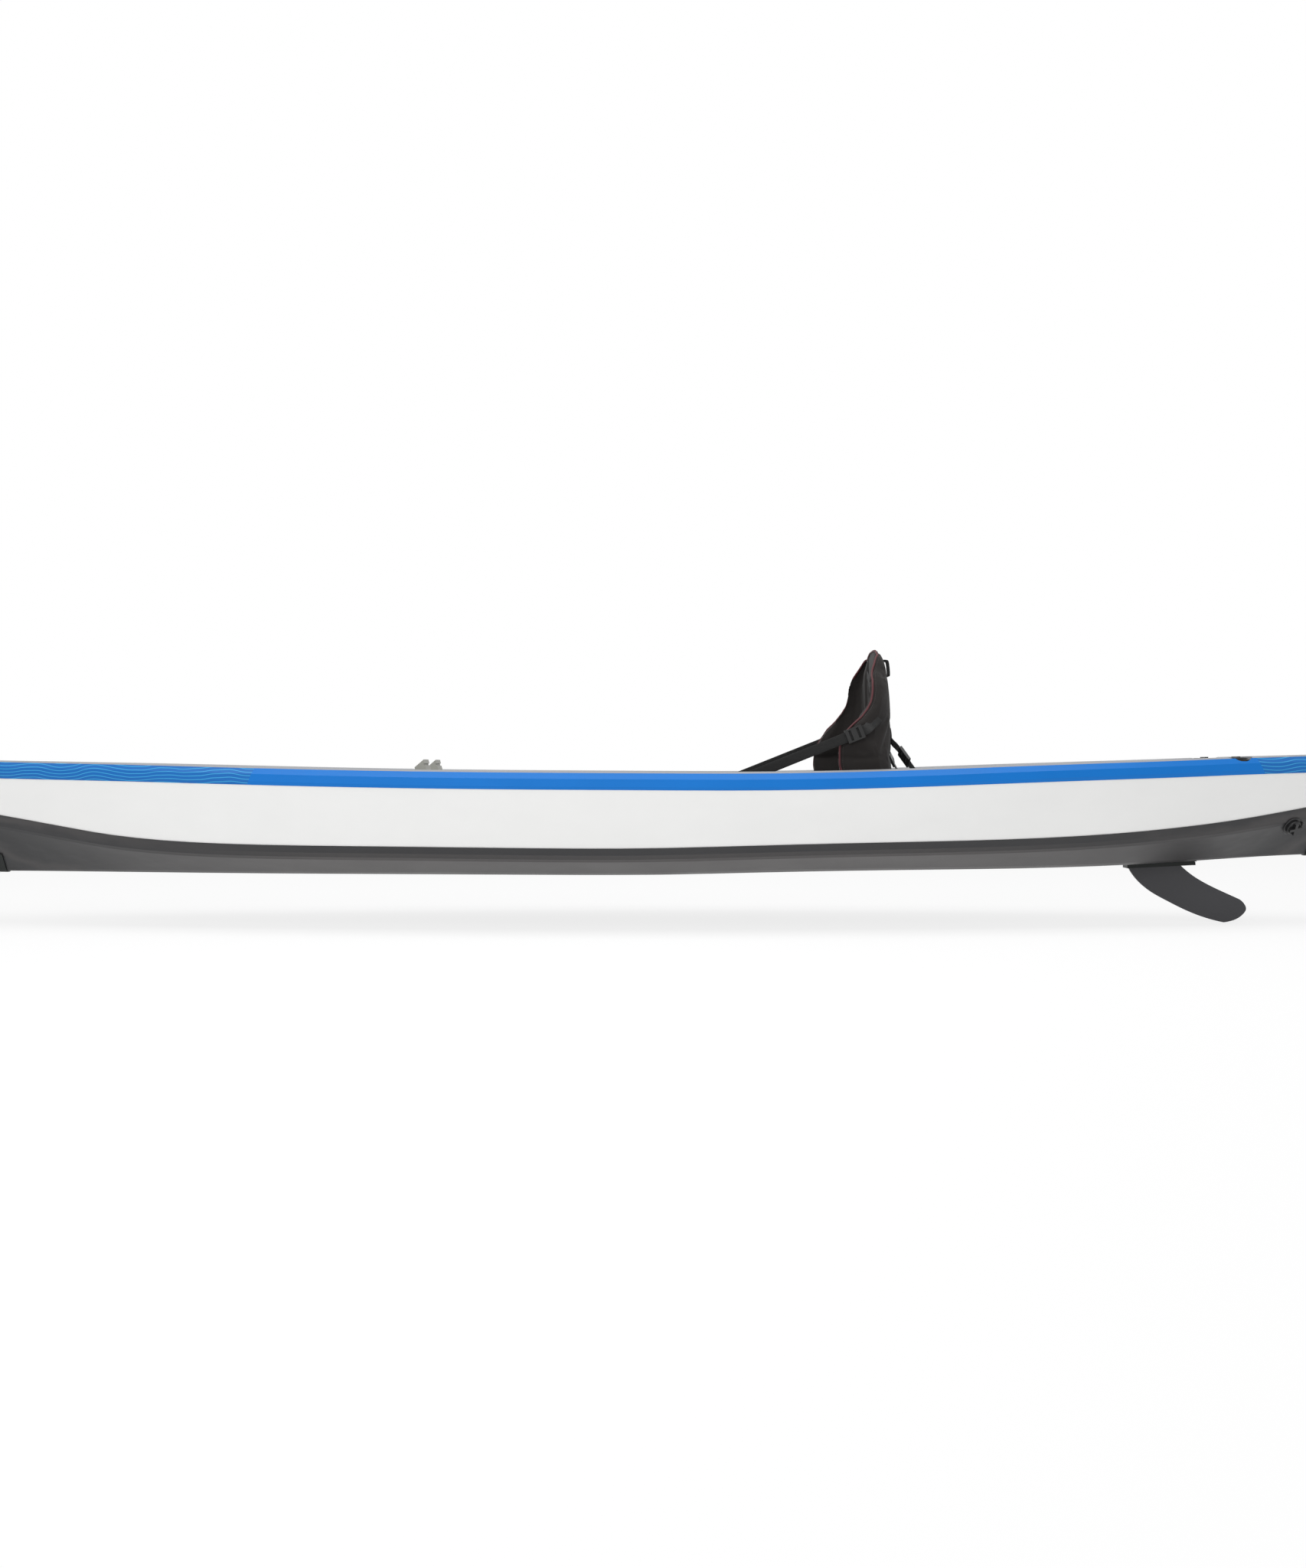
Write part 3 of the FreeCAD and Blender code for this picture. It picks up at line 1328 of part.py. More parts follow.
def back_pad():
    """The padded back, a wide U in plan that narrows upwards. It is cut away in front, so that
    it clears the cushion as it tilts."""
    wires = []
    for rise, wide, reach, thick in BACK_LEVEL_SHARES:
        rear, y = back_rear(rise), wide * size("back_half_width")
        front = rear - max(reach * size("back_reach"), size("back_thickness"))
        pad_thick = thick * size("back_thickness")
        round_off = min(size("back_corner_radius") * wide, rear - front - pad_thick / 2,
                        (rear - front) * 0.9)
        corners = [(front, -y), (rear, -y), (rear, y), (front, y)]
        outline = back_outline(corners, round_off, pad_thick)
        level = back_pivot.z + size("fabric_gap") + rise * size("back_height")
        wires.append(loop_wire(outline, at_level(level)))
    body = Part.makeLoft(wires, True, False)
    skirt = Part.Face(Part.makePolygon([
        Vector(back_pivot.x - size("back_reach") * 2, 0, 0),
        Vector(back_pivot.x, 0, 0), back_pivot,
        Vector(back_pivot.x - size("back_thickness") / 2, 0,
               back_pivot.z + size("back_skirt_start")),
        Vector(back_pivot.x - size("back_reach"), 0, back_pivot.z + size("back_skirt_rise")),
        Vector(back_pivot.x - size("back_reach") * 2, 0,
               back_pivot.z + size("back_skirt_rise")),
        Vector(back_pivot.x - size("back_reach") * 2, 0, 0)]))
    cutter = skirt.extrude(Vector(0, size("beam"), 0))
    cutter.translate(Vector(0, -size("beam") / 2, 0))
    return body.cut(cutter)


def at_level(z):
    """Turns a plan section's (x, y) into a point at one height."""
    return lambda x, y: Vector(x, y, z)


def back_outline(corners, radius, thickness):
    """Outer path with the inner side as far to its left as the pad is thick."""
    outer = rounded_path(corners, [0, radius, radius, 0], ROUND_CHORDS)
    inner_corners = offset_lines(corners, -thickness, False)
    inner_radius = max(radius - thickness, thickness / 4)
    inner = rounded_path(inner_corners, [0, inner_radius, inner_radius, 0], ROUND_CHORDS)
    return outer + inner[::-1]


add_piece("seat_cushion", cushion())
backrest = back_pad()
add_piece("seat_back_pad", backrest)


def back_loop():
    """A webbing loop that stands off the rear of the back near its top."""
    body = new_body("seat_back_loop")
    deep, tall = "sizes.back_loop_depth", "sizes.back_loop_height / 2"
    pad(body, outline_sketch(body, "XZ_Plane", [
        ("0", f"-{tall}"), (deep, f"-{tall} + sizes.back_loop_wall"),
        (deep, f"{tall} - sizes.back_loop_wall"), ("0", tall)]),
        "sizes.back_loop_width", both_ways=True)
    wall_thick = "sizes.back_loop_wall"
    pocket(body, outline_sketch(body, "XZ_Plane", [
        (wall_thick, f"-{tall} + 2 * {wall_thick}"),
        (f"{deep} - {wall_thick}", f"-{tall} + 2 * {wall_thick}"),
        (f"{deep} - {wall_thick}", f"{tall} - 2 * {wall_thick}"),
        (wall_thick, f"{tall} - 2 * {wall_thick}")]),
        "2 * sizes.back_loop_width", both_ways=True)
    return body


loop_low = back_pivot.z + size("back_loop_rise") - size("back_loop_height") / 2
loop_high = loop_low + size("back_loop_height")


def behind_back(z, y=0):
    """The rear face of the back at a height."""
    return first_hit(backrest, Vector(size("hull_length") / 2, y, z), Vector(0, y, z))


loop_one, loop_two = behind_back(loop_low), behind_back(loop_high)
loop_lean = math.degrees(math.atan2(loop_one.x - loop_two.x, loop_high - loop_low))
loop_place = (loop_one + loop_two) / 2 + Vector(size("fabric_gap") * 2, 0, 0)
back_loop().Placement = Placement(loop_place, Rotation(Vector(0, 1, 0), -loop_lean))


def face_at(shape, aim, toward, across, up):
    """Where a line meets a shape, and the outward direction of the face there."""
    def hit(side, rise):
        start = aim + across * side + up * rise
        return first_hit(shape, start, start + toward)

    reach = size("strap_width") / 2
    away = (hit(reach, 0) - hit(-reach, 0)).cross(hit(0, reach) - hit(0, -reach)).normalize()
    return hit(0, 0), away * (1 if away.dot(toward) < 0 else -1)


def plate(points, low, high):
    """A flat plate with an outline, between two levels of its own Z."""
    outline = loop_wire(points, lambda x, y: Vector(x, y, low))
    return Part.Face(outline).extrude(Vector(0, 0, high - low))


def ring_patch(width):
    """A welded many-sided patch with a webbing keeper that holds the ring's straight bar."""
    rim = arc_points((0, 0), size("ring_patch_radius"), 0, math.tau, PATCH_SIDES)[:-1]
    long, tall = size("ring_block_length"), size("ring_block_height")
    keeper = Part.makeBox(long, width, tall, Vector(-long / 2, -width / 2, 0))
    reach = size("ring_tunnel_radius") / math.cos(math.pi / TUNNEL_SIDES)
    tunnel_points = arc_points((0, RING_RISE), reach, 0, math.tau, TUNNEL_SIDES)[:-1]
    tunnel = loop_wire(tunnel_points, lambda x, z: Vector(x, -width / 2, z))
    patch = plate(rim, 0, size("ring_patch_thickness")).fuse(keeper)
    return patch.cut(Part.Face(tunnel).extrude(Vector(0, width, 0)))


def ring():
    """A flat D-ring: a straight bar and the half round that the strap pulls."""
    outer, bar, thick = size("ring_outer_radius"), size("ring_bar"), size("ring_thickness")

    def bow(radius, back):
        start = math.acos(back / radius)
        return arc_points((0, 0), radius, -start, start, RING_CHORDS)

    disc = plate(bow(outer, 0) + [(-bar / 2, outer), (-bar / 2, -outer)], -thick / 2, thick / 2)
    return disc.cut(plate(bow(outer - bar, bar / 2), -thick / 2, thick / 2))


def middle_box(x0, x1, wide, thick):
    """A box between two places along X, centred on it."""
    return Part.makeBox(x1 - x0, wide, thick, Vector(x0, -wide / 2, -thick / 2))


def hook(twist):
    """A snap hook: a plate with a hole round the ring, and a flat eye that the strap enters."""
    outer, bar, gap = size("ring_outer_radius"), size("ring_bar"), size("hook_gap")
    wall_thick = size("hook_wall")
    hole_start, hole_end = outer - bar - gap, outer + gap
    high = size("ring_thickness") + 2 * gap
    plate = middle_box(hole_start - wall_thick, size("hook_length") - size("hook_eye_length"),
                       size("hook_thickness"), high + 2 * wall_thick)
    plate = plate.cut(middle_box(hole_start, hole_end, size("hook_eye_width"), high))
    eye = middle_box(size("hook_length") - size("hook_eye_length"), size("hook_length"),
                     size("hook_eye_width"), size("hook_eye_thickness"))
    eye = eye.cut(middle_box(size("hook_length") - size("hook_eye_length") / 2,
                             size("hook_length") * 2, STRAP_SLOT_WIDTH, STRAP_SLOT_HEIGHT))
    plate.Placement = twist
    return plate.fuse(eye)


def buckle(place_along):
    """A ladder buckle: the strap runs through it and shows in two windows."""
    length = size("buckle_length")
    body = middle_box(place_along, place_along + length, size("buckle_width"),
                      size("buckle_thickness"))
    body = body.cut(middle_box(place_along, place_along + length, STRAP_SLOT_WIDTH,
                               STRAP_SLOT_HEIGHT))
    for share in BUCKLE_WINDOW_SHARES:
        start = place_along + share * length
        body = body.cut(middle_box(start, start + size("buckle_slot"), STRAP_SLOT_WIDTH,
                                   size("buckle_thickness")))
    return body


BUCKLE_WINDOW_SHARES = (0.2, 0.66)
PATCH_SIDES = 20
TUNNEL_SIDES = 8
RING_CHORDS = 8
STRAP_SLOT_WIDTH = size("strap_width") + 2 * size("fabric_gap")
STRAP_SLOT_HEIGHT = size("strap_thickness") + 2 * size("fabric_gap")
RING_RISE = size("ring_patch_thickness") + size("ring_tunnel_radius") + size("fabric_gap")
rings, patches, hooks, buckles = [], [], [], []


def seat_strap(kind, aim, toward, across, faces, ring_place):
    """One strap from the backrest to its ring: places the strap, buckle, hook, ring and patch."""
    sewn, sewn_away = face_at(backrest, aim, toward, across, Vector(0, 0, 1))
    height = between(ring_place).rim - size("ring_drop")
    aim = Vector(ring_place, 0, height)
    spot, spot_away = face_at(wall, aim, Vector(0, -size("beam"), 0), Vector(1, 0, 0),
                              Vector(0, 0, 1))
    welded = spot + spot_away * size("fabric_gap")
    anchor = welded + spot_away * RING_RISE
    start = sewn + sewn_away * (size("fabric_gap") + size("strap_stand_off"))
    run = start - anchor
    square = Vector(0, 0, 0)
    ring_turn = Rotation(run, square, spot_away, "XZY")
    strap_turn = Rotation(run, square, faces, "XZY")
    patch_turn = Rotation(run, square, spot_away, "ZXY")

    def put(shape, base, turn_by):
        shape.Placement = Placement(base, turn_by).multiply(shape.Placement)
        return shape

    slot_bottom = size("hook_length") - size("hook_eye_length") / 2 + size("fabric_gap")
    webbing = put(middle_box(slot_bottom, run.Length, size("strap_width"),
                             size("strap_thickness")), anchor, strap_turn)
    fold_turn = Rotation(run, square, sewn_away, "ZXY")
    fold = Part.makeBox(size("fold_length"), size("strap_width"),
                        size("strap_stand_off") + size("strap_thickness") / 2,
                        Vector(-size("fold_length") / 2, -size("strap_width") / 2, 0))
    fold = put(fold, sewn + sewn_away * size("fabric_gap"), fold_turn)
    add_piece(f"port_{kind}_strap", webbing.fuse(fold))
    add_piece(f"starboard_{kind}_strap", mirrored(webbing.fuse(fold)))
    one_patch = put(ring_patch(size("ring_block_width")), welded, patch_turn)
    one_ring = put(ring(), anchor, ring_turn)
    twist = Placement(Vector(0, 0, 0), strap_turn.inverted().multiply(ring_turn))
    one_hook = put(hook(twist), anchor, strap_turn)
    one_buckle = put(buckle(run.Length - size("buckle_place") - size("buckle_length")), anchor,
                     strap_turn)
    for group, shape in ((patches, one_patch), (rings, one_ring), (hooks, one_hook),
                         (buckles, one_buckle)):
        group += [shape, mirrored(shape)]
    return anchor, start


back_side = Vector(size("front_strap_back_place"), -size("beam") / 2,
                   size("front_strap_back_height"))
FRONT_STRAP = seat_strap("front", back_side, Vector(0, size("beam"), 0), Vector(1, 0, 0),
                         Vector(0, -1, 0), size("front_ring_place"))
back_behind = Vector(size("hull_length") / 2, -size("rear_strap_spread"),
                     size("rear_strap_back_height"))
REAR_STRAP = seat_strap("rear", back_behind, Vector(-size("hull_length"), 0, 0),
                        Vector(0, 1, 0), Vector(1, 0, 0), size("rear_ring_place"))
for label, group in (("seat_buckles", buckles), ("strap_hooks", hooks), ("seat_rings", rings),
                     ("seat_ring_patches", patches)):
    add_piece(label, Part.makeCompound(group))


# Final checks, then one STEP file per piece

doc.recompute()
for thing in doc.Objects:
    if "Invalid" in thing.State or "Error" in thing.State:
        raise RuntimeError(f"{thing.Label} did not build: {thing.State}")

pieces = [thing for thing in doc.Objects
          if thing.TypeId in ("PartDesign::Body", "Part::Feature")]
for piece in pieces:
    if piece.Shape.isNull() or not piece.Shape.isValid() or not piece.Shape.Solids:
        raise RuntimeError(f"{piece.Label} has no valid solid")
    piece.Shape.exportStep(f"parts/{piece.Label}.step")
print(len(pieces), "pieces written")
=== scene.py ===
# %% [markdown]
# # An inflatable kayak, dressed for a product photograph
# The kayak comes from the workshop as bare solids: three flat panels full of air, a skin that
# wraps them, two end mouldings, a seat, a foot brace, a skeg, valves and carry handles. This
# script gives each of them its finish, and remakes in cloth and webbing what the solids only block
# out.
# %% Load the model
import math
import bpy
from mathutils import Matrix, Vector


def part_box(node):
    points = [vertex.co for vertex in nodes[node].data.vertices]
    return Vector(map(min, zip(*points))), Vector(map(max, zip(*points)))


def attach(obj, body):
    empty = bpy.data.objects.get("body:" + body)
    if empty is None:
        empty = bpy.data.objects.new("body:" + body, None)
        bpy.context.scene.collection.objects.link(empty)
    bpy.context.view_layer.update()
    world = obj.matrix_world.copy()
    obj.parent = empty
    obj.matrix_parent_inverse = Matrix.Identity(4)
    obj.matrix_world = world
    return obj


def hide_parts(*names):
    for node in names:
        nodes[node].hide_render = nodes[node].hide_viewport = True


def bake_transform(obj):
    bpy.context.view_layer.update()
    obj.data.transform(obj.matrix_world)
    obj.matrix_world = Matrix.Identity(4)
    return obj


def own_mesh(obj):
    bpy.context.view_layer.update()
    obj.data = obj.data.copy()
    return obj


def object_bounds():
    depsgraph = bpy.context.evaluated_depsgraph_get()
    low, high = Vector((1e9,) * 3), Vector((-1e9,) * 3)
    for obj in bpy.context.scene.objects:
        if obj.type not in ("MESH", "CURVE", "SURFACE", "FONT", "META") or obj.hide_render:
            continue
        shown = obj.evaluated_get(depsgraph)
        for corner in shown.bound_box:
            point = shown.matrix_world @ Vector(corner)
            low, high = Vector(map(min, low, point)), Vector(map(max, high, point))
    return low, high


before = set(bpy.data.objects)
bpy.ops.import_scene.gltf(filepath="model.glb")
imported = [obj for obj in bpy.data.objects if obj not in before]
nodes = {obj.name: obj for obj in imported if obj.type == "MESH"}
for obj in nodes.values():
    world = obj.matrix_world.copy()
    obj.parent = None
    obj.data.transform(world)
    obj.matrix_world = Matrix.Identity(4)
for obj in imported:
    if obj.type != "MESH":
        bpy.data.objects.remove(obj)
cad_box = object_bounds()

scene = bpy.context.scene
print("pieces from the workshop:", len(nodes), "box:", cad_box)

# %% [markdown]
# ## The camera
# The picture is a side view from a few metres away, level with the rim, so the far rim all but
# hides behind the near one. The lens is worked out from how fast sizes shrink with distance, and a
# small shift puts the horizon where the picture has it without tilting the camera.
# %% Camera
IMAGE_HEIGHT = 2048
FOCAL_PIXELS = 2300
HORIZON_PIXELS = 24
CAMERA_PLACE = (0, -4.5, 0.268)
camera_data = bpy.data.cameras.new("side_view")
camera_data.sensor_width = 36
camera_data.lens = FOCAL_PIXELS / IMAGE_HEIGHT * camera_data.sensor_width
camera_data.shift_y = -HORIZON_PIXELS / IMAGE_HEIGHT
camera = bpy.data.objects.new("side_view", camera_data)
camera.location = CAMERA_PLACE
camera.rotation_euler = (math.radians(90), 0, 0)
scene.collection.objects.link(camera)
scene.camera = camera
scene.view_settings.view_transform = "Standard"
print("lens:", round(camera_data.lens, 2), "mm")

# %% [markdown]
# ## Floor, backdrop and light
# A product shot like this has a pale sweep under and behind the object. The floor is a large plane
# at the lowest point of the kayak, the tip of its skeg. For the camera the floor glows a little,
# so it reads as white while the soft shadow stays. It glows more with distance, so no horizon
# shows. Two broad lamps and an even sky give the long highlight along the blue band without hard
# edges.
# %% Floor and world
FLOOR_SIZE = 400
PAPER = (0.92, 0.92, 0.92, 1)
PAPER_ROUGHNESS = 0.9
GLOW_AT_CAMERA = 0.755
GLOW_PER_METRE = 0.01
WHITE_LIGHT = (1, 1, 1, 1)
SKY_STRENGTH = 0.55


def nodes_of(material):
    """The node tree of a material or world, its links and its node maker."""
    material.use_nodes = True
    tree = material.node_tree
    return tree, tree.links.new, tree.nodes.new


def maths(group, operation, first, second=None, clamp=False):
    """A math node in a tree; each input is a socket or a number."""
    node = group.nodes.new("ShaderNodeMath")
    node.operation = operation
    node.use_clamp = clamp
    for slot, value in enumerate((first, second)):
        if value is None:
            continue
        if isinstance(value, (int, float)):
            node.inputs[slot].default_value = value
        else:
            group.links.new(value, node.inputs[slot])
    return node.outputs[0]


def blended(tree, share, first, second):
    """A colour between two others, each a socket or a plain colour."""
    node = tree.nodes.new("ShaderNodeMix")
    node.data_type = "RGBA"
    tree.links.new(share, node.inputs[0])
    for slot, value in ((6, first), (7, second)):
        if isinstance(value, tuple):
            node.inputs[slot].default_value = value + (1,)
        else:
            tree.links.new(value, node.inputs[slot])
    return node.outputs[2]


def seen_share(tree, mirrored):
    """1 for what the camera sees, also through something clear, and a share for mirror images."""
    rays = tree.nodes.new("ShaderNodeLightPath").outputs
    direct = maths(tree, "ADD", rays["Is Camera Ray"], rays["Is Transmission Ray"])
    mirror = maths(tree, "MULTIPLY", rays["Is Glossy Ray"], mirrored)
    return maths(tree, "ADD", direct, mirror, clamp=True)


def deselect():
    for thing in bpy.context.selected_objects:
        thing.select_set(False)


deselect()
bpy.ops.mesh.primitive_plane_add(size=FLOOR_SIZE, location=(0, 0, cad_box[0][2]))
floor = bpy.context.object
floor.name = "floor"
paper = bpy.data.materials.new("paper_sweep")
tree, link, new = nodes_of(paper)
paper_shader = tree.nodes["Principled BSDF"]
paper_shader.inputs["Base Color"].default_value = PAPER
paper_shader.inputs["Roughness"].default_value = PAPER_ROUGHNESS
glow, mix = new("ShaderNodeEmission"), new("ShaderNodeMixShader")
away = new("ShaderNodeCameraData").outputs["View Distance"]
whiter = maths(tree, "ADD", maths(tree, "MULTIPLY", away, GLOW_PER_METRE), GLOW_AT_CAMERA,
               clamp=True)
link(maths(tree, "MULTIPLY", seen_share(tree, mirrored=1.0), whiter), mix.inputs[0])
link(paper_shader.outputs[0], mix.inputs[1])
link(glow.outputs[0], mix.inputs[2])
link(mix.outputs[0], tree.nodes["Material Output"].inputs["Surface"])
floor.data.materials.append(paper)

world = bpy.data.worlds.new("studio")
scene.world = world
tree, link, new = nodes_of(world)
sky = tree.nodes["Background"]
sky.inputs["Color"].default_value = WHITE_LIGHT
sky.inputs["Strength"].default_value = SKY_STRENGTH
white, mix = new("ShaderNodeBackground"), new("ShaderNodeMixShader")
white.inputs["Color"].default_value = WHITE_LIGHT
link(seen_share(tree, mirrored=0.5), mix.inputs[0])
link(sky.outputs[0], mix.inputs[1])
link(white.outputs[0], mix.inputs[2])
link(mix.outputs[0], tree.nodes["World Output"].inputs["Surface"])


def lamp(name, place, aim, size, power):
    """A broad square lamp at a place, turned to what it lights."""
    data = bpy.data.lights.new(name, "AREA")
    data.shape = "RECTANGLE"
    data.size, data.size_y = size
    data.energy = power
    thing = bpy.data.objects.new(name, data)
    thing.location = place
    thing.rotation_euler = (Vector(aim) - Vector(place)).to_track_quat("-Z", "Y").to_euler()
    scene.collection.objects.link(thing)


HULL_MIDDLE = (0, 0, 0.2)
lamp("top_lamp", place=(0, -0.6, 3.2), aim=HULL_MIDDLE, size=(5, 2.5), power=70)
lamp("front_lamp", place=(-1.2, -4.2, 2.4), aim=HULL_MIDDLE, size=(4, 2), power=60)
print("stage set, floor at", round(cad_box[0][2], 4))

# %% [markdown]
# ## Shared surface effects
# Most of the kayak is coated fabric: a woven base under a smooth skin of plastic. Its threads show
# as a very fine grid of bumps over slow creases, and its colour drifts slightly where it has been
# handled. Moulded plastic has a fine grain instead. Both effects serve several materials, so each
# is a group of shader nodes with its own inputs, built once. Each gives a height for the relief
# and a tone for the colour.
# %% Node groups
def new_group(name, inputs, outputs):
    """An empty shader group with named number inputs and outputs."""
    group = bpy.data.node_groups.new(name, "ShaderNodeTree")
    for label, value in inputs:
        made = group.interface.new_socket(label, in_out="INPUT", socket_type="NodeSocketFloat")
        made.default_value = value
    for label in outputs:
        group.interface.new_socket(label, in_out="OUTPUT", socket_type="NodeSocketFloat")
    return group, group.nodes.new("NodeGroupInput"), group.nodes.new("NodeGroupOutput")


def coordinates(group):
    """The object's own place of each point, and its three parts."""
    place = group.nodes.new("ShaderNodeTexCoord").outputs["Object"]
    split = group.nodes.new("ShaderNodeSeparateXYZ")
    group.links.new(place, split.inputs[0])
    return place, split.outputs


def threads(group, along, across, density):
    """Woven threads: the product of two fine waves, one for the warp and one for the weft."""
    waves = [maths(group, "SINE", maths(group, "MULTIPLY", part, density))
             for part in (along, across)]
    return maths(group, "MULTIPLY", waves[0], waves[1])


def noise(group, place, scale, detail=3, stretch=None):
    """A noise value, its pattern stretched along the axes where asked."""
    node = group.nodes.new("ShaderNodeTexNoise")
    node.inputs["Scale"].default_value = scale
    node.inputs["Detail"].default_value = detail
    if stretch:
        mapping = group.nodes.new("ShaderNodeMapping")
        mapping.inputs["Scale"].default_value = stretch
        group.links.new(place, mapping.inputs["Vector"])
        place = mapping.outputs[0]
    group.links.new(place, node.inputs["Vector"])
    return node.outputs["Fac"]


THREAD_HEIGHT = 0.05
weave_group, given, put = new_group("coated_weave", [("Threads", 3000.0), ("Wrinkle", 0.3)],
                                    ["Height", "Tone"])
place, parts = coordinates(weave_group)
fine = threads(weave_group, parts[0], parts[2], given.outputs["Threads"])
slow = noise(weave_group, place, scale=6, detail=4, stretch=(1, 1.5, 2))
creases = noise(weave_group, place, scale=14, detail=2, stretch=(0.5, 1, 1.6))
height = maths(weave_group, "ADD", maths(weave_group, "MULTIPLY", fine, THREAD_HEIGHT),
               maths(weave_group, "MULTIPLY", creases, given.outputs["Wrinkle"]))
weave_group.links.new(height, put.inputs["Height"])
weave_group.links.new(slow, put.inputs["Tone"])

grain_group, given, put = new_group("moulded_grain", [("Grain", 900.0)], ["Height", "Tone"])
place, parts = coordinates(grain_group)
speck = grain_group.nodes.new("ShaderNodeTexNoise")
grain_group.links.new(place, speck.inputs["Vector"])
grain_group.links.new(given.outputs["Grain"], speck.inputs["Scale"])
grain_group.links.new(speck.outputs["Fac"], put.inputs["Height"])
grain_group.links.new(noise(grain_group, place, scale=9), put.inputs["Tone"])

ROUGHNESS_DRIFT = 0.08


def finish(name, colour, roughness, group=None, values=None, bump=0.1, distance=0.002, spread=0.12,
           metallic=0.0, coat=0.0, sheen=0.0, specular=0.4):
    """A material whose colour and roughness drift a little and whose surface has a fine relief."""
    made = bpy.data.materials.new(name)
    tree, link, new = nodes_of(made)
    shader = tree.nodes["Principled BSDF"]
    shader.inputs["Metallic"].default_value = metallic
    shader.inputs["Coat Weight"].default_value = coat
    shader.inputs["Sheen Weight"].default_value = sheen
    shader.inputs["Specular IOR Level"].default_value = specular
    effect = new("ShaderNodeGroup")
    effect.node_tree = group or grain_group
    for label, value in (values or {}).items():
        effect.inputs[label].default_value = value
    ramp = new("ShaderNodeMix")
    ramp.data_type = "RGBA"
    ramp.inputs[6].default_value = [c * (1 - spread) for c in colour] + [1]
    ramp.inputs[7].default_value = [min(c * (1 + spread), 1) for c in colour] + [1]
    link(effect.outputs["Tone"], ramp.inputs[0])
    link(ramp.outputs[2], shader.inputs["Base Color"])
    drift = maths(tree, "MULTIPLY_ADD", effect.outputs["Tone"], ROUGHNESS_DRIFT * 2)
    drift.node.inputs[2].default_value = roughness - ROUGHNESS_DRIFT
    link(drift, shader.inputs["Roughness"])
    relief = new("ShaderNodeBump")
    relief.inputs["Strength"].default_value = bump
    relief.inputs["Distance"].default_value = distance
    link(effect.outputs["Height"], relief.inputs["Height"])
    link(relief.outputs[0], shader.inputs["Normal"])
    return made, tree, ramp, shader


def dress(material, *names):
    """Gives workshop pieces a material in place of the plain one that they came with."""
    for name in names:
        nodes[name].data.materials.clear()
        nodes[name].data.materials.append(material)


# %% [markdown]
# ## Hull fabrics
# The side walls are off-white outside and grey inside. The grey sheet wraps over the top of the
# wall and shows from the side as a thin line above the blue band. On the real panel these are two
# sheets glued at the rim, so the border is sharp: it is set by which way the surface faces. The
# pocket that each valve sits in is grey all round.
# %% Walls and floor
WHITE = (0.84, 0.84, 0.83)
INNER_GREY = (0.30, 0.31, 0.33)
RIM_FACING = 0.72
POCKET_REACH = 0.56
POCKET_DEPTH = 0.02


def facing_parts(tree):
    """The three parts of the direction that a surface faces."""
    facing = tree.nodes.new("ShaderNodeNewGeometry")
    split = tree.nodes.new("ShaderNodeSeparateXYZ")
    tree.links.new(facing.outputs["Normal"], split.inputs[0])
    return split.outputs


for side, name in ((-1, "port"), (1, "starboard")):
    wall, tree, ramp, shader = finish(
        f"{name}_wall", WHITE, roughness=0.42, group=weave_group, values={"Wrinkle": 0.5},
        bump=0.12, spread=0.03, coat=0.15)
    outward = maths(tree, "MULTIPLY", facing_parts(tree)[1], side)
    inside = maths(tree, "LESS_THAN", outward, RIM_FACING)
    _, parts = coordinates(tree)
    low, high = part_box(f"{name}_valve_body")
    off = [maths(tree, "SUBTRACT", parts[i], (low[i] + high[i]) / 2) for i in (0, 1)]
    square = maths(tree, "ADD", *[maths(tree, "MULTIPLY", part, part) for part in off])
    pocket = maths(tree, "LESS_THAN", square, (POCKET_REACH * (high.x - low.x)) ** 2)
    high_up = maths(tree, "GREATER_THAN", parts[2], high.z - POCKET_DEPTH)
    inside = maths(tree, "MAXIMUM", inside, maths(tree, "MULTIPLY", pocket, high_up))
    tree.links.new(blended(tree, inside, ramp.outputs[2], INNER_GREY), shader.inputs["Base Color"])
    dress(wall, f"{name}_side_chamber")

deck, *_ = finish("floor_fabric", (0.36, 0.37, 0.39), roughness=0.5, group=weave_group,
                  values={"Wrinkle": 0.3})
dress(deck, "floor_chamber", "seat_ring_patches")

# %% [markdown]
# ## Blue band
# The band is a separate strip. Towards both ends it carries a printed film. A plain ripple pattern
# of the same blues takes its place: fine level lines that drift and sway a little along the band,
# so they read as water. Each film ends in a slanted cut.
# %% Rail band
BLUE = (0.0005, 0.165, 0.57)
FILM_BLUE = (0.008, 0.14, 0.46)
LIGHT_BLUE = (0.045, 0.34, 0.66)
RIPPLES = 720.0
RIPPLE_EDGE = 0.72
RIPPLE_SHARPNESS = 6.0
DRIFT_HEIGHT = 0.022
SWAYS = 38.0
SWAY_HEIGHT = 0.004
BOW_CUT, BOW_HEIGHT, BOW_SLANT = -0.968, 0.24, -0.4
STERN_CUT, STERN_HEIGHT, STERN_SLANT = 1.5, 0.27, 0.5
band, tree, ramp, shader = finish("blue_band", BLUE, roughness=0.33, group=weave_group,
                                  values={"Wrinkle": 0.4}, bump=0.1, spread=0.06, specular=0.25)
place, parts = coordinates(tree)
wander = noise(tree, place, scale=7, detail=2, stretch=(1, 0, 1))
drift = maths(tree, "MULTIPLY", wander, DRIFT_HEIGHT)
sway = maths(tree, "SINE", maths(tree, "MULTIPLY", parts[0], SWAYS))
line = maths(tree, "ADD", parts[2], maths(tree, "ADD", drift,
                                          maths(tree, "MULTIPLY", sway, SWAY_HEIGHT)))
wave = maths(tree, "SINE", maths(tree, "MULTIPLY", line, RIPPLES))
ripple = maths(tree, "MULTIPLY", maths(tree, "SUBTRACT", wave, RIPPLE_EDGE), RIPPLE_SHARPNESS,
               clamp=True)


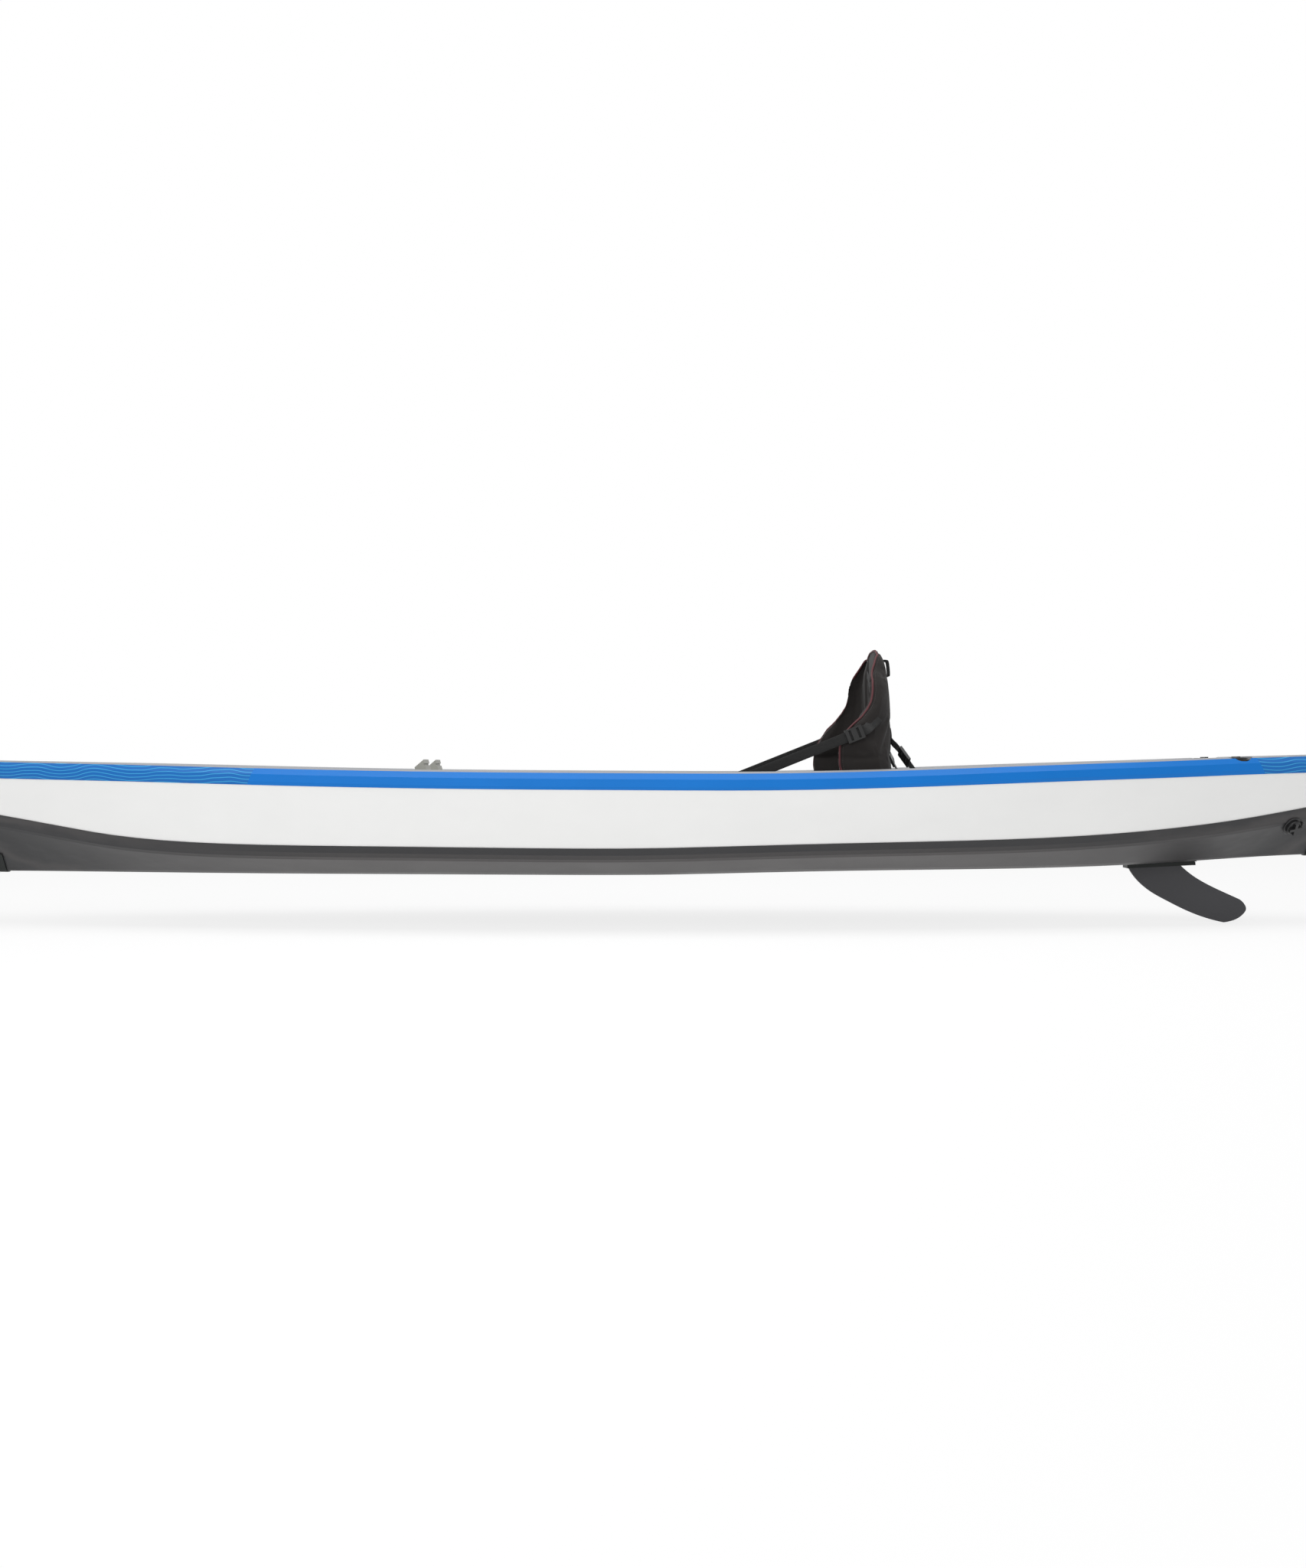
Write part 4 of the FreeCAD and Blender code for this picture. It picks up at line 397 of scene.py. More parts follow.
def film_past(comparison, cut, height, slant):
    """1 where the film lies: past a cut across the band that leans with height."""
    lean = maths(tree, "MULTIPLY", maths(tree, "SUBTRACT", parts[2], height), slant)
    return maths(tree, comparison, maths(tree, "ADD", parts[0], lean), cut)


film = maths(tree, "MAXIMUM", film_past("LESS_THAN", BOW_CUT, BOW_HEIGHT, BOW_SLANT),
             film_past("GREATER_THAN", STERN_CUT, STERN_HEIGHT, STERN_SLANT))
film_colour = blended(tree, ripple, FILM_BLUE, LIGHT_BLUE)
tree.links.new(blended(tree, film, ramp.outputs[2], film_colour), shader.inputs["Base Color"])
dress(band, "port_rail_band", "starboard_rail_band")

# %% [markdown]
# ## Bottom skin
# The skin is a heavier cloth with a coarse weave and a semi-gloss coat. It is pulled tight round
# both ends, which draws fine folds that fan out from the top of each stem towards the keel. The
# folds are waves of the angle round that point, faded out towards the middle of the hull, and
# the tops of the folds carry a painted highlight: they are painted a little paler. The
# downward-facing underside is painted paler along the middle of the hull, a painted reflection of
# the pale floor.
# %% Bottom skin
SKIN_BLACK = (0.036, 0.036, 0.038)
# Pale grey painted onto the skin as a painted reflection and a painted highlight, not wear.
PAINTED_LIGHT_GREY = (0.115, 0.105, 0.102)
STEM_AT = 1.98
STEM_TOP = 0.19
FOLDS = 30.0
FOLD_WANDER = 7.0
FOLD_HEIGHT = 4.0
FOLD_FADE = 0.85
CREST_SHARPNESS = 3.0
CREST_HIGHLIGHT_TONE = 0.45
UNDER_FROM, UNDER_SHARPNESS = 0.25, 3.0
PAINTED_REFLECTION_TONE = 0.45
PAINTED_REFLECTION_END_CLEAR = 1.6
skin, tree, ramp, shader = finish(
    "bottom_cloth", SKIN_BLACK, roughness=0.38, group=weave_group,
    values={"Threads": 2200.0, "Wrinkle": 0.7}, bump=0.18, spread=0.1, specular=0.35)
place, parts = coordinates(tree)
wander = noise(tree, place, scale=5, detail=3, stretch=(1, 1, 2))
uneven = maths(tree, "MULTIPLY", wander, FOLD_WANDER)
relief = [n for n in tree.nodes if n.type == "BUMP"][0]
height = relief.inputs["Height"].links[0].from_socket
below_stem = maths(tree, "SUBTRACT", STEM_TOP, parts[2])
nearness, crest_highlights = [], []
for way in (1, -1):
    inward = maths(tree, "ADD", maths(tree, "MULTIPLY", parts[0], way), STEM_AT)
    angle = maths(tree, "ARCTAN2", below_stem, inward)
    folds = maths(tree, "SINE", maths(tree, "ADD", maths(tree, "MULTIPLY", angle, FOLDS), uneven))
    near = maths(tree, "SUBTRACT", 1.0, maths(tree, "MULTIPLY", inward, FOLD_FADE), clamp=True)
    rise = maths(tree, "MULTIPLY", maths(tree, "MULTIPLY", folds, near), FOLD_HEIGHT)
    height = maths(tree, "ADD", height, rise)
    # Painted highlight: the tops of the folds are painted paler, as if they catch the light.
    crest = maths(tree, "POWER", maths(tree, "MAXIMUM", folds, 0.0), CREST_SHARPNESS)
    crest_highlights.append(maths(tree, "MULTIPLY", crest, maths(tree, "MULTIPLY", near, CREST_HIGHLIGHT_TONE)))
    nearness.append(near)
tree.links.new(height, relief.inputs["Height"])
# Painted reflection: downward-facing skin away from the stem ends is painted paler, standing in
# for the pale floor mirrored in it.
under = maths(tree, "MULTIPLY", facing_parts(tree)[2], -1.0)
down = maths(tree, "MULTIPLY", maths(tree, "SUBTRACT", under, UNDER_FROM), UNDER_SHARPNESS,
             clamp=True)
ends = maths(tree, "MULTIPLY", maths(tree, "MAXIMUM", *nearness), PAINTED_REFLECTION_END_CLEAR)
painted_reflection = maths(tree, "MULTIPLY", down, maths(tree, "SUBTRACT", 1.0, ends, clamp=True))
# The painted reflection and the painted fold highlight together mix in the pale grey.
painted_light = maths(tree, "MAXIMUM", maths(tree, "MULTIPLY", painted_reflection, PAINTED_REFLECTION_TONE),
             maths(tree, "MAXIMUM", *crest_highlights))
tree.links.new(blended(tree, painted_light, ramp.outputs[2], PAINTED_LIGHT_GREY), shader.inputs["Base Color"])
dress(skin, "bottom_skin")

# %% [markdown]
# ## Plastics, rubber and steel
# The end mouldings and skeg are moulded plastic with a fine spark-eroded grain. Valves are
# smoother. The foot brace is pale grey. Rings, hooks and pins are brushed stainless steel. The
# cloth of the seat is mixed here too, for the pads that follow.
# %% Hard parts
hard, *_ = finish("end_plastic", (0.009, 0.012, 0.011), roughness=0.42, bump=0.25,
                  distance=0.0004, specular=0.3)
dress(hard, "bow_moulding", "stern_moulding", "skeg_base")
fin, *_ = finish("skeg_plastic", (0.055, 0.055, 0.060), roughness=0.45, bump=0.2,
                 distance=0.0004)
dress(fin, "skeg_fin", "skeg_wedge")
valve, *_ = finish("valve_plastic", (0.018, 0.018, 0.019), roughness=0.32, bump=0.08,
                   distance=0.0003)
valves = [f"{name}_valve_{kind}" for name in ("port", "starboard", "floor")
          for kind in ("body", "poppet", "tether", "cap")]
dress(valve, "drain_flange", "drain_tether", "drain_cap", *valves)
pale, *_ = finish("brace_plastic", (0.40, 0.40, 0.36), roughness=0.5, bump=0.15,
                  distance=0.0004)
dress(pale, "brace_base", "port_pedal", "starboard_pedal")
steel, *_ = finish("brushed_steel", (0.55, 0.55, 0.54), roughness=0.3, values={"Grain": 400.0},
                   bump=0.1, distance=0.0002, metallic=1.0, spread=0.08)
dress(steel, "bow_handle_pin", "stern_handle_pin", "pedal_pins", "strap_hooks", "seat_rings")
grip, *_ = finish("grip_rubber", (0.012, 0.012, 0.012), roughness=0.6, bump=0.3,
                  distance=0.0004)
dress(grip, "bow_handle_grip", "stern_handle_grip")
buckle, *_ = finish("buckle_plastic", (0.02, 0.02, 0.02), roughness=0.3, bump=0.05,
                    distance=0.0002)
dress(buckle, "seat_buckles")
cloth, *_ = finish("seat_cloth", (0.018, 0.0155, 0.0145), roughness=0.85, group=weave_group,
                   values={"Threads": 2600.0, "Wrinkle": 1.0}, bump=0.4, sheen=0.1, specular=0.25)

# %% [markdown]
# ## From a solid to a soft form
# The workshop's seat is a block: right in size, but with flat sides and sharp edges. A padded
# piece starts as a copy of that block. It is given an even mesh, drawn in a little, and then blown
# up as cloth, with the points along its seams held. The cloth swells between the seams as foam
# does in a cover. No point may travel further than a few millimetres, so the pad keeps clear of
# what stands beside it.
# %% Soft helpers
MERGE_DISTANCE = 0.00002
VOXEL = 0.006
DRAW_IN = 0.004
PRESSURE = 4.0
CLOTH_FRAMES = 20


def select_only(piece):
    deselect()
    piece.select_set(True)
    bpy.context.view_layer.objects.active = piece


def merged_copy(name, new_name):
    """A copy of a workshop solid with its loose triangles joined."""
    piece = bpy.data.objects.new(new_name, nodes[name].data.copy())
    piece.data.materials.clear()
    scene.collection.objects.link(piece)
    select_only(piece)
    bpy.ops.object.mode_set(mode="EDIT")
    bpy.ops.mesh.select_all(action="SELECT")
    bpy.ops.mesh.remove_doubles(threshold=MERGE_DISTANCE)
    bpy.ops.object.mode_set(mode="OBJECT")
    return piece


def even_mesh(piece):
    """Remeshes a closed piece evenly and moves its surface in by a small distance."""
    piece.data.remesh_voxel_size = VOXEL
    select_only(piece)
    bpy.ops.object.voxel_remesh()
    inward = [v.normal * DRAW_IN for v in piece.data.vertices]
    for vertex, step in zip(piece.data.vertices, inward):
        vertex.co -= step


def swell(piece, held, cap):
    """Blows a piece up as cloth, with the held points pinned and the travel capped."""
    start = [v.co.copy() for v in piece.data.vertices]
    seam = piece.vertex_groups.new(name="seam")
    for index, weight in enumerate(held):
        if weight > 0:
            seam.add([index], weight, "REPLACE")
    cloth = piece.modifiers.new("cloth", "CLOTH")
    cloth.settings.use_pressure = True
    cloth.settings.uniform_pressure_force = PRESSURE
    cloth.settings.effector_weights.gravity = 0
    cloth.settings.vertex_group_mass = "seam"
    cloth.point_cache.frame_end = CLOTH_FRAMES
    for moment in range(1, CLOTH_FRAMES + 1):
        scene.frame_set(moment)
    select_only(piece)
    bpy.ops.object.modifier_apply(modifier="cloth")
    scene.frame_set(1)
    furthest = 0
    for vertex, place in zip(piece.data.vertices, start):
        step = vertex.co - place
        furthest = max(furthest, step.length)
        if step.length > cap:
            vertex.co = place + step.normalized() * cap
    piece.vertex_groups.clear()
    print(piece.name, "swelled by up to", round(furthest * 1000, 1), "mm, capped at", cap * 1000)


def near_line(value, line, width):
    """1 on a line and 0 from its width outwards."""
    return max(0.0, 1 - abs(value - line) / width)


def subdivide_smooth(piece):
    """Rounds a piece by one subdivision and shades it smooth."""
    select_only(piece)
    rounder = piece.modifiers.new("rounder", "SUBSURF")
    rounder.levels = rounder.render_levels = 1
    bpy.ops.object.modifier_apply(modifier="rounder")
    bpy.ops.object.shade_smooth()


def smoothstep(low, high, value):
    """A soft rise from 0 to 1 between two values."""
    share = min(max((value - low) / (high - low), 0), 1)
    return share * share * (3 - 2 * share)


# %% [markdown]
# ## The seat back
# The back stands between four straps that pull it a little out of true: the near wing is drawn
# back and the far one reaches further forward, which shows in the side view. Its top is an arch.
# Two seams run up its inner panel, one crosses them at the waist and one runs round it low down.
# The cloth is held on these lines, and the seams lie in shallow grooves.
# %% Seat back
WINGS_FROM, WINGS_FULL = 0.05, 0.16
NEAR_TURN_LOW, NEAR_TURN_MORE = 0.08, 0.26
NEAR_TURN_FROM, NEAR_TURN_TO = 0.33, 0.45
FAR_TURN_LOW = -0.1
FAR_TURN_FROM, FAR_TURN_TO = 0.27, 0.38
REAR_LEAN = 0.086
ARCH_FOOT, ARCH_HALF_WIDTH, ARCH_DROP = 0.47, 0.14, 0.38
SEAM_WIDTH = 0.006
SEAM_GROOVE = 0.003
INNER_FROM = 0.012
PANEL_SEAM_Y, PANEL_FOOT_Z = 0.062, 0.16
WAIST_Z, WAIST_SLANT = 0.335, 0.25
LOW_SEAM_Z = 0.19
BACK_SWELL = 0.009
BACK_LOW, BACK_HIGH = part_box("seat_back_pad")
back = merged_copy("seat_back_pad", "seat_back_cover")
even_mesh(back)


def back_rear_at(z):
    """Where the rear of the back lies at a height."""
    return BACK_HIGH.x - REAR_LEAN * (z - BACK_LOW.z)


def wing_turn(y, z):
    """The share of its depth by which a wing is drawn back; a negative share reaches forward."""
    if y < 0:
        return NEAR_TURN_LOW + NEAR_TURN_MORE * smoothstep(NEAR_TURN_FROM, NEAR_TURN_TO, z)
    return FAR_TURN_LOW * (1 - smoothstep(FAR_TURN_FROM, FAR_TURN_TO, z))


for vertex in back.data.vertices:
    x, y, z = vertex.co
    wing = smoothstep(WINGS_FROM, WINGS_FULL, abs(y))
    vertex.co.x = x + (back_rear_at(z) - x) * wing_turn(y, z) * wing
    if z > ARCH_FOOT:
        arch = 1 - ARCH_DROP * min(abs(y) / ARCH_HALF_WIDTH, 1) ** 2
        vertex.co.z = ARCH_FOOT + (z - ARCH_FOOT) * arch


def back_seams(point):
    """How firmly the cover is held at a point: 1 on a seam."""
    x, y, z = point
    inner = x < back_rear_at(z) - INNER_FROM
    panel = near_line(abs(y), PANEL_SEAM_Y, SEAM_WIDTH) if inner and z > PANEL_FOOT_Z else 0
    waist = near_line(z, WAIST_Z - abs(y) * WAIST_SLANT, SEAM_WIDTH) if inner else 0
    low = near_line(z, LOW_SEAM_Z, SEAM_WIDTH)
    return max(panel, waist, low)


back_held = [back_seams(v.co) for v in back.data.vertices]
grooves = [v.normal * SEAM_GROOVE * h for v, h in zip(back.data.vertices, back_held)]
for vertex, step in zip(back.data.vertices, grooves):
    vertex.co -= step
swell(back, back_held, BACK_SWELL)
subdivide_smooth(back)
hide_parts("seat_back_pad")
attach(back, "backrest")
print("back cover faces:", len(back.data.polygons))

# %% [markdown]
# ## The cushion
# The cushion is flat where it lies on the floor and crowned where one sits. Two seams cross it and
# mark the channels that keep its foam in place.
# %% Cushion
CUSHION_SEAMS = (0.34, 0.67)
CUSHION_SEAM_SHARE = 0.02
CUSHION_SIDE = 0.02
CUSHION_SWELL = 0.005
SEAT_LOW, SEAT_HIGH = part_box("seat_cushion")
cushion = merged_copy("seat_cushion", "seat_cushion_cover")
even_mesh(cushion)


def cushion_seams(point):
    """How firmly the cushion's cover is held at a point: 1 on a seam across its top."""
    along = (point.x - SEAT_LOW.x) / (SEAT_HIGH.x - SEAT_LOW.x)
    if point.z <= SEAT_LOW.z + CUSHION_SIDE:
        return 0
    return max(near_line(along, seam, CUSHION_SEAM_SHARE) for seam in CUSHION_SEAMS)


cushion_held = [cushion_seams(v.co) for v in cushion.data.vertices]
for vertex, held in zip(cushion.data.vertices, cushion_held):
    vertex.co.z -= SEAM_GROOVE * held
floor_level = min(v.co.z for v in cushion.data.vertices)
swell(cushion, [max(h, near_line(v.co.z, floor_level, SEAM_WIDTH))
                for v, h in zip(cushion.data.vertices, cushion_held)], CUSHION_SWELL)
subdivide_smooth(cushion)
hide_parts("seat_cushion")
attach(cushion, "hull")
for pad in (back, cushion):
    pad.data.materials.append(cloth)

# %% [markdown]
# ## Piping
# A thin dark red cord in its own cover is sewn along the free edge of the back: up the front of
# one wing, over the arch and down the other. It is laid here by looking from the middle of the
# back towards each direction round the edge and taking the point that lies furthest out and
# forward.
# %% Piping
PIPING_RADIUS = 0.0026
PIPING_LIFT = 0.0008
PIPING_POINTS = 110
BACK_MIDDLE = Vector((0, 0, 0.36))
BELOW_LEVEL = 0.95
OUTWARD_WEIGHT = 0.8
SMOOTHING_PASSES = 4


def surface_point(piece, place, lift):
    """The nearest point of a piece's surface, moved out by a small distance."""
    _, point, normal, _ = piece.closest_point_on_mesh(place)
    return point + normal * lift


def edge_path(piece, centre, steps):
    """Points along the free edge of the back, from the bottom of one wing to the other."""
    best = {}
    for vertex in piece.data.vertices:
        y, z = vertex.co.y - centre.y, vertex.co.z - centre.z
        angle = math.atan2(z, y)
        if angle < -math.pi / 2:
            angle += math.tau
        step = int((angle + BELOW_LEVEL) / (math.pi + 2 * BELOW_LEVEL) * steps)
        score = OUTWARD_WEIGHT * math.hypot(y, z) - vertex.co.x
        if 0 <= step < steps and (step not in best or score > best[step][0]):
            best[step] = (score, vertex.co.copy())
    points = [best[step][1] for step in sorted(best)]
    for _ in range(SMOOTHING_PASSES):
        points = ([points[0]] + [(a + b * 2 + c) / 4 for a, b, c in
                                 zip(points, points[1:], points[2:])] + [points[-1]])
    return points


def tube(name, points, radius, sides=3):
    """A round cord along points: a path curve with a bevel, made a mesh."""
    deselect()
    bpy.ops.curve.primitive_nurbs_path_add()
    curve = bpy.context.object
    curve.name = name
    spline = curve.data.splines[0]
    spline.points.add(len(points) - len(spline.points))
    for slot, place in zip(spline.points, points):
        slot.co = (*place, 1)
    spline.use_endpoint_u = True
    spline.order_u = 3
    curve.data.dimensions = "3D"
    curve.data.resolution_u = 3
    curve.data.bevel_depth = radius
    curve.data.bevel_resolution = sides
    curve.data.use_fill_caps = True
    select_only(curve)
    bpy.ops.object.convert(target="MESH")
    bpy.ops.object.shade_smooth()
    return bpy.context.object


piping_cloth, *_ = finish("piping_cloth", (0.085, 0.018, 0.022), roughness=0.55,
                          group=weave_group, values={"Threads": 6000.0, "Wrinkle": 0.4},
                          bump=0.3, distance=0.0006)
rim_line = [surface_point(back, place, PIPING_LIFT)
            for place in edge_path(back, BACK_MIDDLE, PIPING_POINTS)]
piping = tube("seat_back_piping", rim_line, PIPING_RADIUS)
piping.data.materials.append(piping_cloth)
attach(piping, "backrest")
print("piping runs through", len(rim_line), "points")

# %% [markdown]
# ## Webbing
# Flat straps are woven with fine ribs across them. A strap here is a narrow grid whose rows are
# set along its path, then given its thickness and a soft edge. Its own map runs in metres along
# and across it, so the ribs keep their size and follow every bend.
# %% Webbing material and ribbon
CORDS = 1900.0
CORD_SHARE = 0.4
WEBBING_WIDTH = 0.0245
WEBBING_THICKNESS = 0.0014
EDGE_SHARE = 0.3
SMOOTH_ANGLE = math.radians(40)
rib_group, given, put = new_group("webbing_ribs", [("Ribs", 2600.0)], ["Height", "Tone"])
own_map = rib_group.nodes.new("ShaderNodeTexCoord").outputs["UV"]
split = rib_group.nodes.new("ShaderNodeSeparateXYZ")
rib_group.links.new(own_map, split.inputs[0])
ribs = maths(rib_group, "ABSOLUTE", maths(rib_group, "SINE", maths(
    rib_group, "MULTIPLY", split.outputs[0], given.outputs["Ribs"])))
cords = maths(rib_group, "SINE", maths(rib_group, "MULTIPLY", split.outputs[1], CORDS))
rib_group.links.new(maths(rib_group, "ADD", ribs, maths(rib_group, "MULTIPLY", cords, CORD_SHARE)),
                    put.inputs["Height"])
rib_group.links.new(noise(rib_group, own_map, scale=60), put.inputs["Tone"])
ribbed, *_ = finish("black_webbing", (0.013, 0.013, 0.013), roughness=0.7, group=rib_group,
                    bump=0.5, distance=0.0008, spread=0.35, sheen=0.15, specular=0.3)


def rounded(points, passes=2):
    """Cuts the corners of a path, each pass softer."""
    for _ in range(passes):
        cut = [points[0]]
        for one, two in zip(points, points[1:]):
            cut += [one.lerp(two, 0.25), one.lerp(two, 0.75)]
        points = cut + [points[-1]]
    return points


def ribbon(name, path, faces, width=WEBBING_WIDTH, thick=WEBBING_THICKNESS):
    """A flat strap along a path, its face turned towards a direction."""
    deselect()
    bpy.ops.mesh.primitive_grid_add(x_subdivisions=len(path) - 1, y_subdivisions=4, size=1)
    piece = bpy.context.object
    piece.name = piece.data.name = name
    rows = []
    for i, place in enumerate(path):
        ahead, behind = path[min(i + 1, len(path) - 1)], path[max(i - 1, 0)]
        rows.append(Vector(faces).cross((ahead - behind).normalized()).normalized())
    runs = [0.0]
    for one, two in zip(path, path[1:]):
        runs.append(runs[-1] + (two - one).length)
    rank = [round((v.co.x + 0.5) * (len(path) - 1)) for v in piece.data.vertices]
    share = [v.co.y for v in piece.data.vertices]
    for vertex, i, across in zip(piece.data.vertices, rank, share):
        vertex.co = path[i] + rows[i] * across * width
    for loop in piece.data.loops:
        i = loop.vertex_index
        piece.data.uv_layers[0].data[loop.index].uv = (runs[rank[i]], share[i] * width)
    body = piece.modifiers.new("thickness", "SOLIDIFY")
    body.thickness, body.offset = thick, 0
    edge = piece.modifiers.new("edge", "BEVEL")
    edge.width, edge.segments, edge.limit_method = thick * EDGE_SHARE, 2, "ANGLE"
    for modifier in (body, edge):
        select_only(piece)
        bpy.ops.object.modifier_apply(modifier=modifier.name)
    bpy.ops.object.shade_smooth_by_angle(angle=SMOOTH_ANGLE)
    piece.data.materials.append(ribbed)
    return piece


# %% [markdown]
# ## The seat's straps
# Each strap runs straight from the hook on its ring, through the buckle, to the place where it is
# sewn on the back. There it turns and lies against the cover. Each line below starts at the ring
# and ends at the seam on the port side, followed by the way that the strap's face looks.
# %% Seat straps
STRAP_LINES = {
    "front": (Vector((0.08994, -0.23261, 0.18368)), Vector((0.53508, -0.20053, 0.36212)),
              Vector((0, -1, 0))),
    "rear": (Vector((0.68341, -0.19901, 0.19319)), Vector((0.60407, -0.10032, 0.32302)),
             Vector((1, 0, 0))),
}
SLOT_START = 0.0394
BEFORE_SEAM = (0.026, 0.014)
SEWN_STEPS = (0.008, 0.02, 0.032, 0.044)
STRAP_LIFT = 0.0011


def to_side(point, side):
    """A port point, or its mirror image on the starboard side."""
    return Vector((point.x, point.y * (1 if side == "port" else -1), point.z))


for kind, (ring_end, sewn_end, faces) in STRAP_LINES.items():
    for side in ("port", "starboard"):
        ring_at, sewn_at, out = (to_side(p, side) for p in (ring_end, sewn_end, faces))
        way = (sewn_at - ring_at).normalized()
        straight = [ring_at + way * SLOT_START, ring_at.lerp(sewn_at, 0.5),
                    *[sewn_at - way * before for before in BEFORE_SEAM]]
        sewn = [surface_point(back, sewn_at + way * along, STRAP_LIFT) for along in SEWN_STEPS]
        strap = ribbon(f"{side}_{kind}_webbing", rounded(straight + sewn), out)
        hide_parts(f"{side}_{kind}_strap")
        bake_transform(strap)
    print(kind, "straps run", round((sewn_end - ring_end).length, 3), "m")

# %% [markdown]
# ## Loops and ribbons on the back
# A webbing loop stands off the rear of the back near its top, to carry the folded seat by. On the
# inner side two short ribbons meet in a V, its foot in the middle and its tips higher up.
# %% Back webbing
BEHIND_BACK = 0.62
LOOP_END, LOOP_NEAR, LOOP_FAR = 0.012, 0.001, 0.02
LOOP_CORNER = 0.003
RIBBON_LIFT = 0.0009
RIBBON_STEPS = 5
LOOP_LOW, LOOP_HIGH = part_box("seat_back_loop")
loop_path = []
for z, off in ((LOOP_LOW.z - LOOP_END, LOOP_NEAR), (LOOP_LOW.z, LOOP_NEAR),
               (LOOP_LOW.z, LOOP_FAR - LOOP_CORNER), (LOOP_LOW.z + LOOP_CORNER, LOOP_FAR),
               (LOOP_HIGH.z - LOOP_CORNER, LOOP_FAR), (LOOP_HIGH.z, LOOP_FAR - LOOP_CORNER),
               (LOOP_HIGH.z, LOOP_NEAR), (LOOP_HIGH.z + LOOP_END, LOOP_NEAR)):
    _, point, _, _ = back.closest_point_on_mesh(Vector((BEHIND_BACK, 0, z)))
    loop_path.append(Vector((point.x + off, 0, z)))
loop = ribbon("seat_back_webbing_loop", rounded(loop_path), (1, 0, 0), width=0.034, thick=0.0045)
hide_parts("seat_back_loop")
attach(loop, "backrest")
V_FOOT, V_TIP = Vector((0.52, -0.004, 0.452)), Vector((0.52, -0.059, 0.502))
for side in ("port", "starboard"):
    places = [V_FOOT.lerp(V_TIP, step / RIBBON_STEPS) for step in range(RIBBON_STEPS + 1)]
    line = [surface_point(back, to_side(place, side), RIBBON_LIFT) for place in places]
    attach(ribbon(f"{side}_back_ribbon", rounded(line, 1), (-1, 0, 0), width=0.02), "backrest")
print("loop from", round(LOOP_LOW.z, 3), "to", round(LOOP_HIGH.z, 3))

# %% [markdown]
# ## Handle and brace webbing
# The carry handles' straps and the two straps under the foot brace are short, and the workshop's
# solids have their folds already. Each gets a merged copy with softly rounded edges and its own
# map for the ribs.
# %% Short webbing
def softened(name, new_name, rounding):
    """A copy of a flat workshop solid with rounded edges and a map in metres."""
    piece = merged_copy(name, new_name)
    bpy.ops.object.mode_set(mode="EDIT")
    bpy.ops.mesh.select_all(action="SELECT")
    bpy.ops.mesh.dissolve_limited(angle_limit=math.radians(2))
    bpy.ops.uv.cube_project(cube_size=1)
    bpy.ops.object.mode_set(mode="OBJECT")
    edge = piece.modifiers.new("edge", "BEVEL")
    edge.width, edge.segments, edge.limit_method = rounding, 2, "ANGLE"
    bpy.ops.object.modifier_apply(modifier="edge")
    bpy.ops.object.shade_smooth_by_angle(angle=SMOOTH_ANGLE)
    piece.data.materials.append(ribbed)
    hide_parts(name)
    return piece


for end in ("bow", "stern"):
    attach(softened(f"{end}_handle_strap", f"{end}_handle_webbing", 0.0005), f"{end}_handle")
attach(softened("brace_straps", "brace_webbing", 0.0004), "hull")

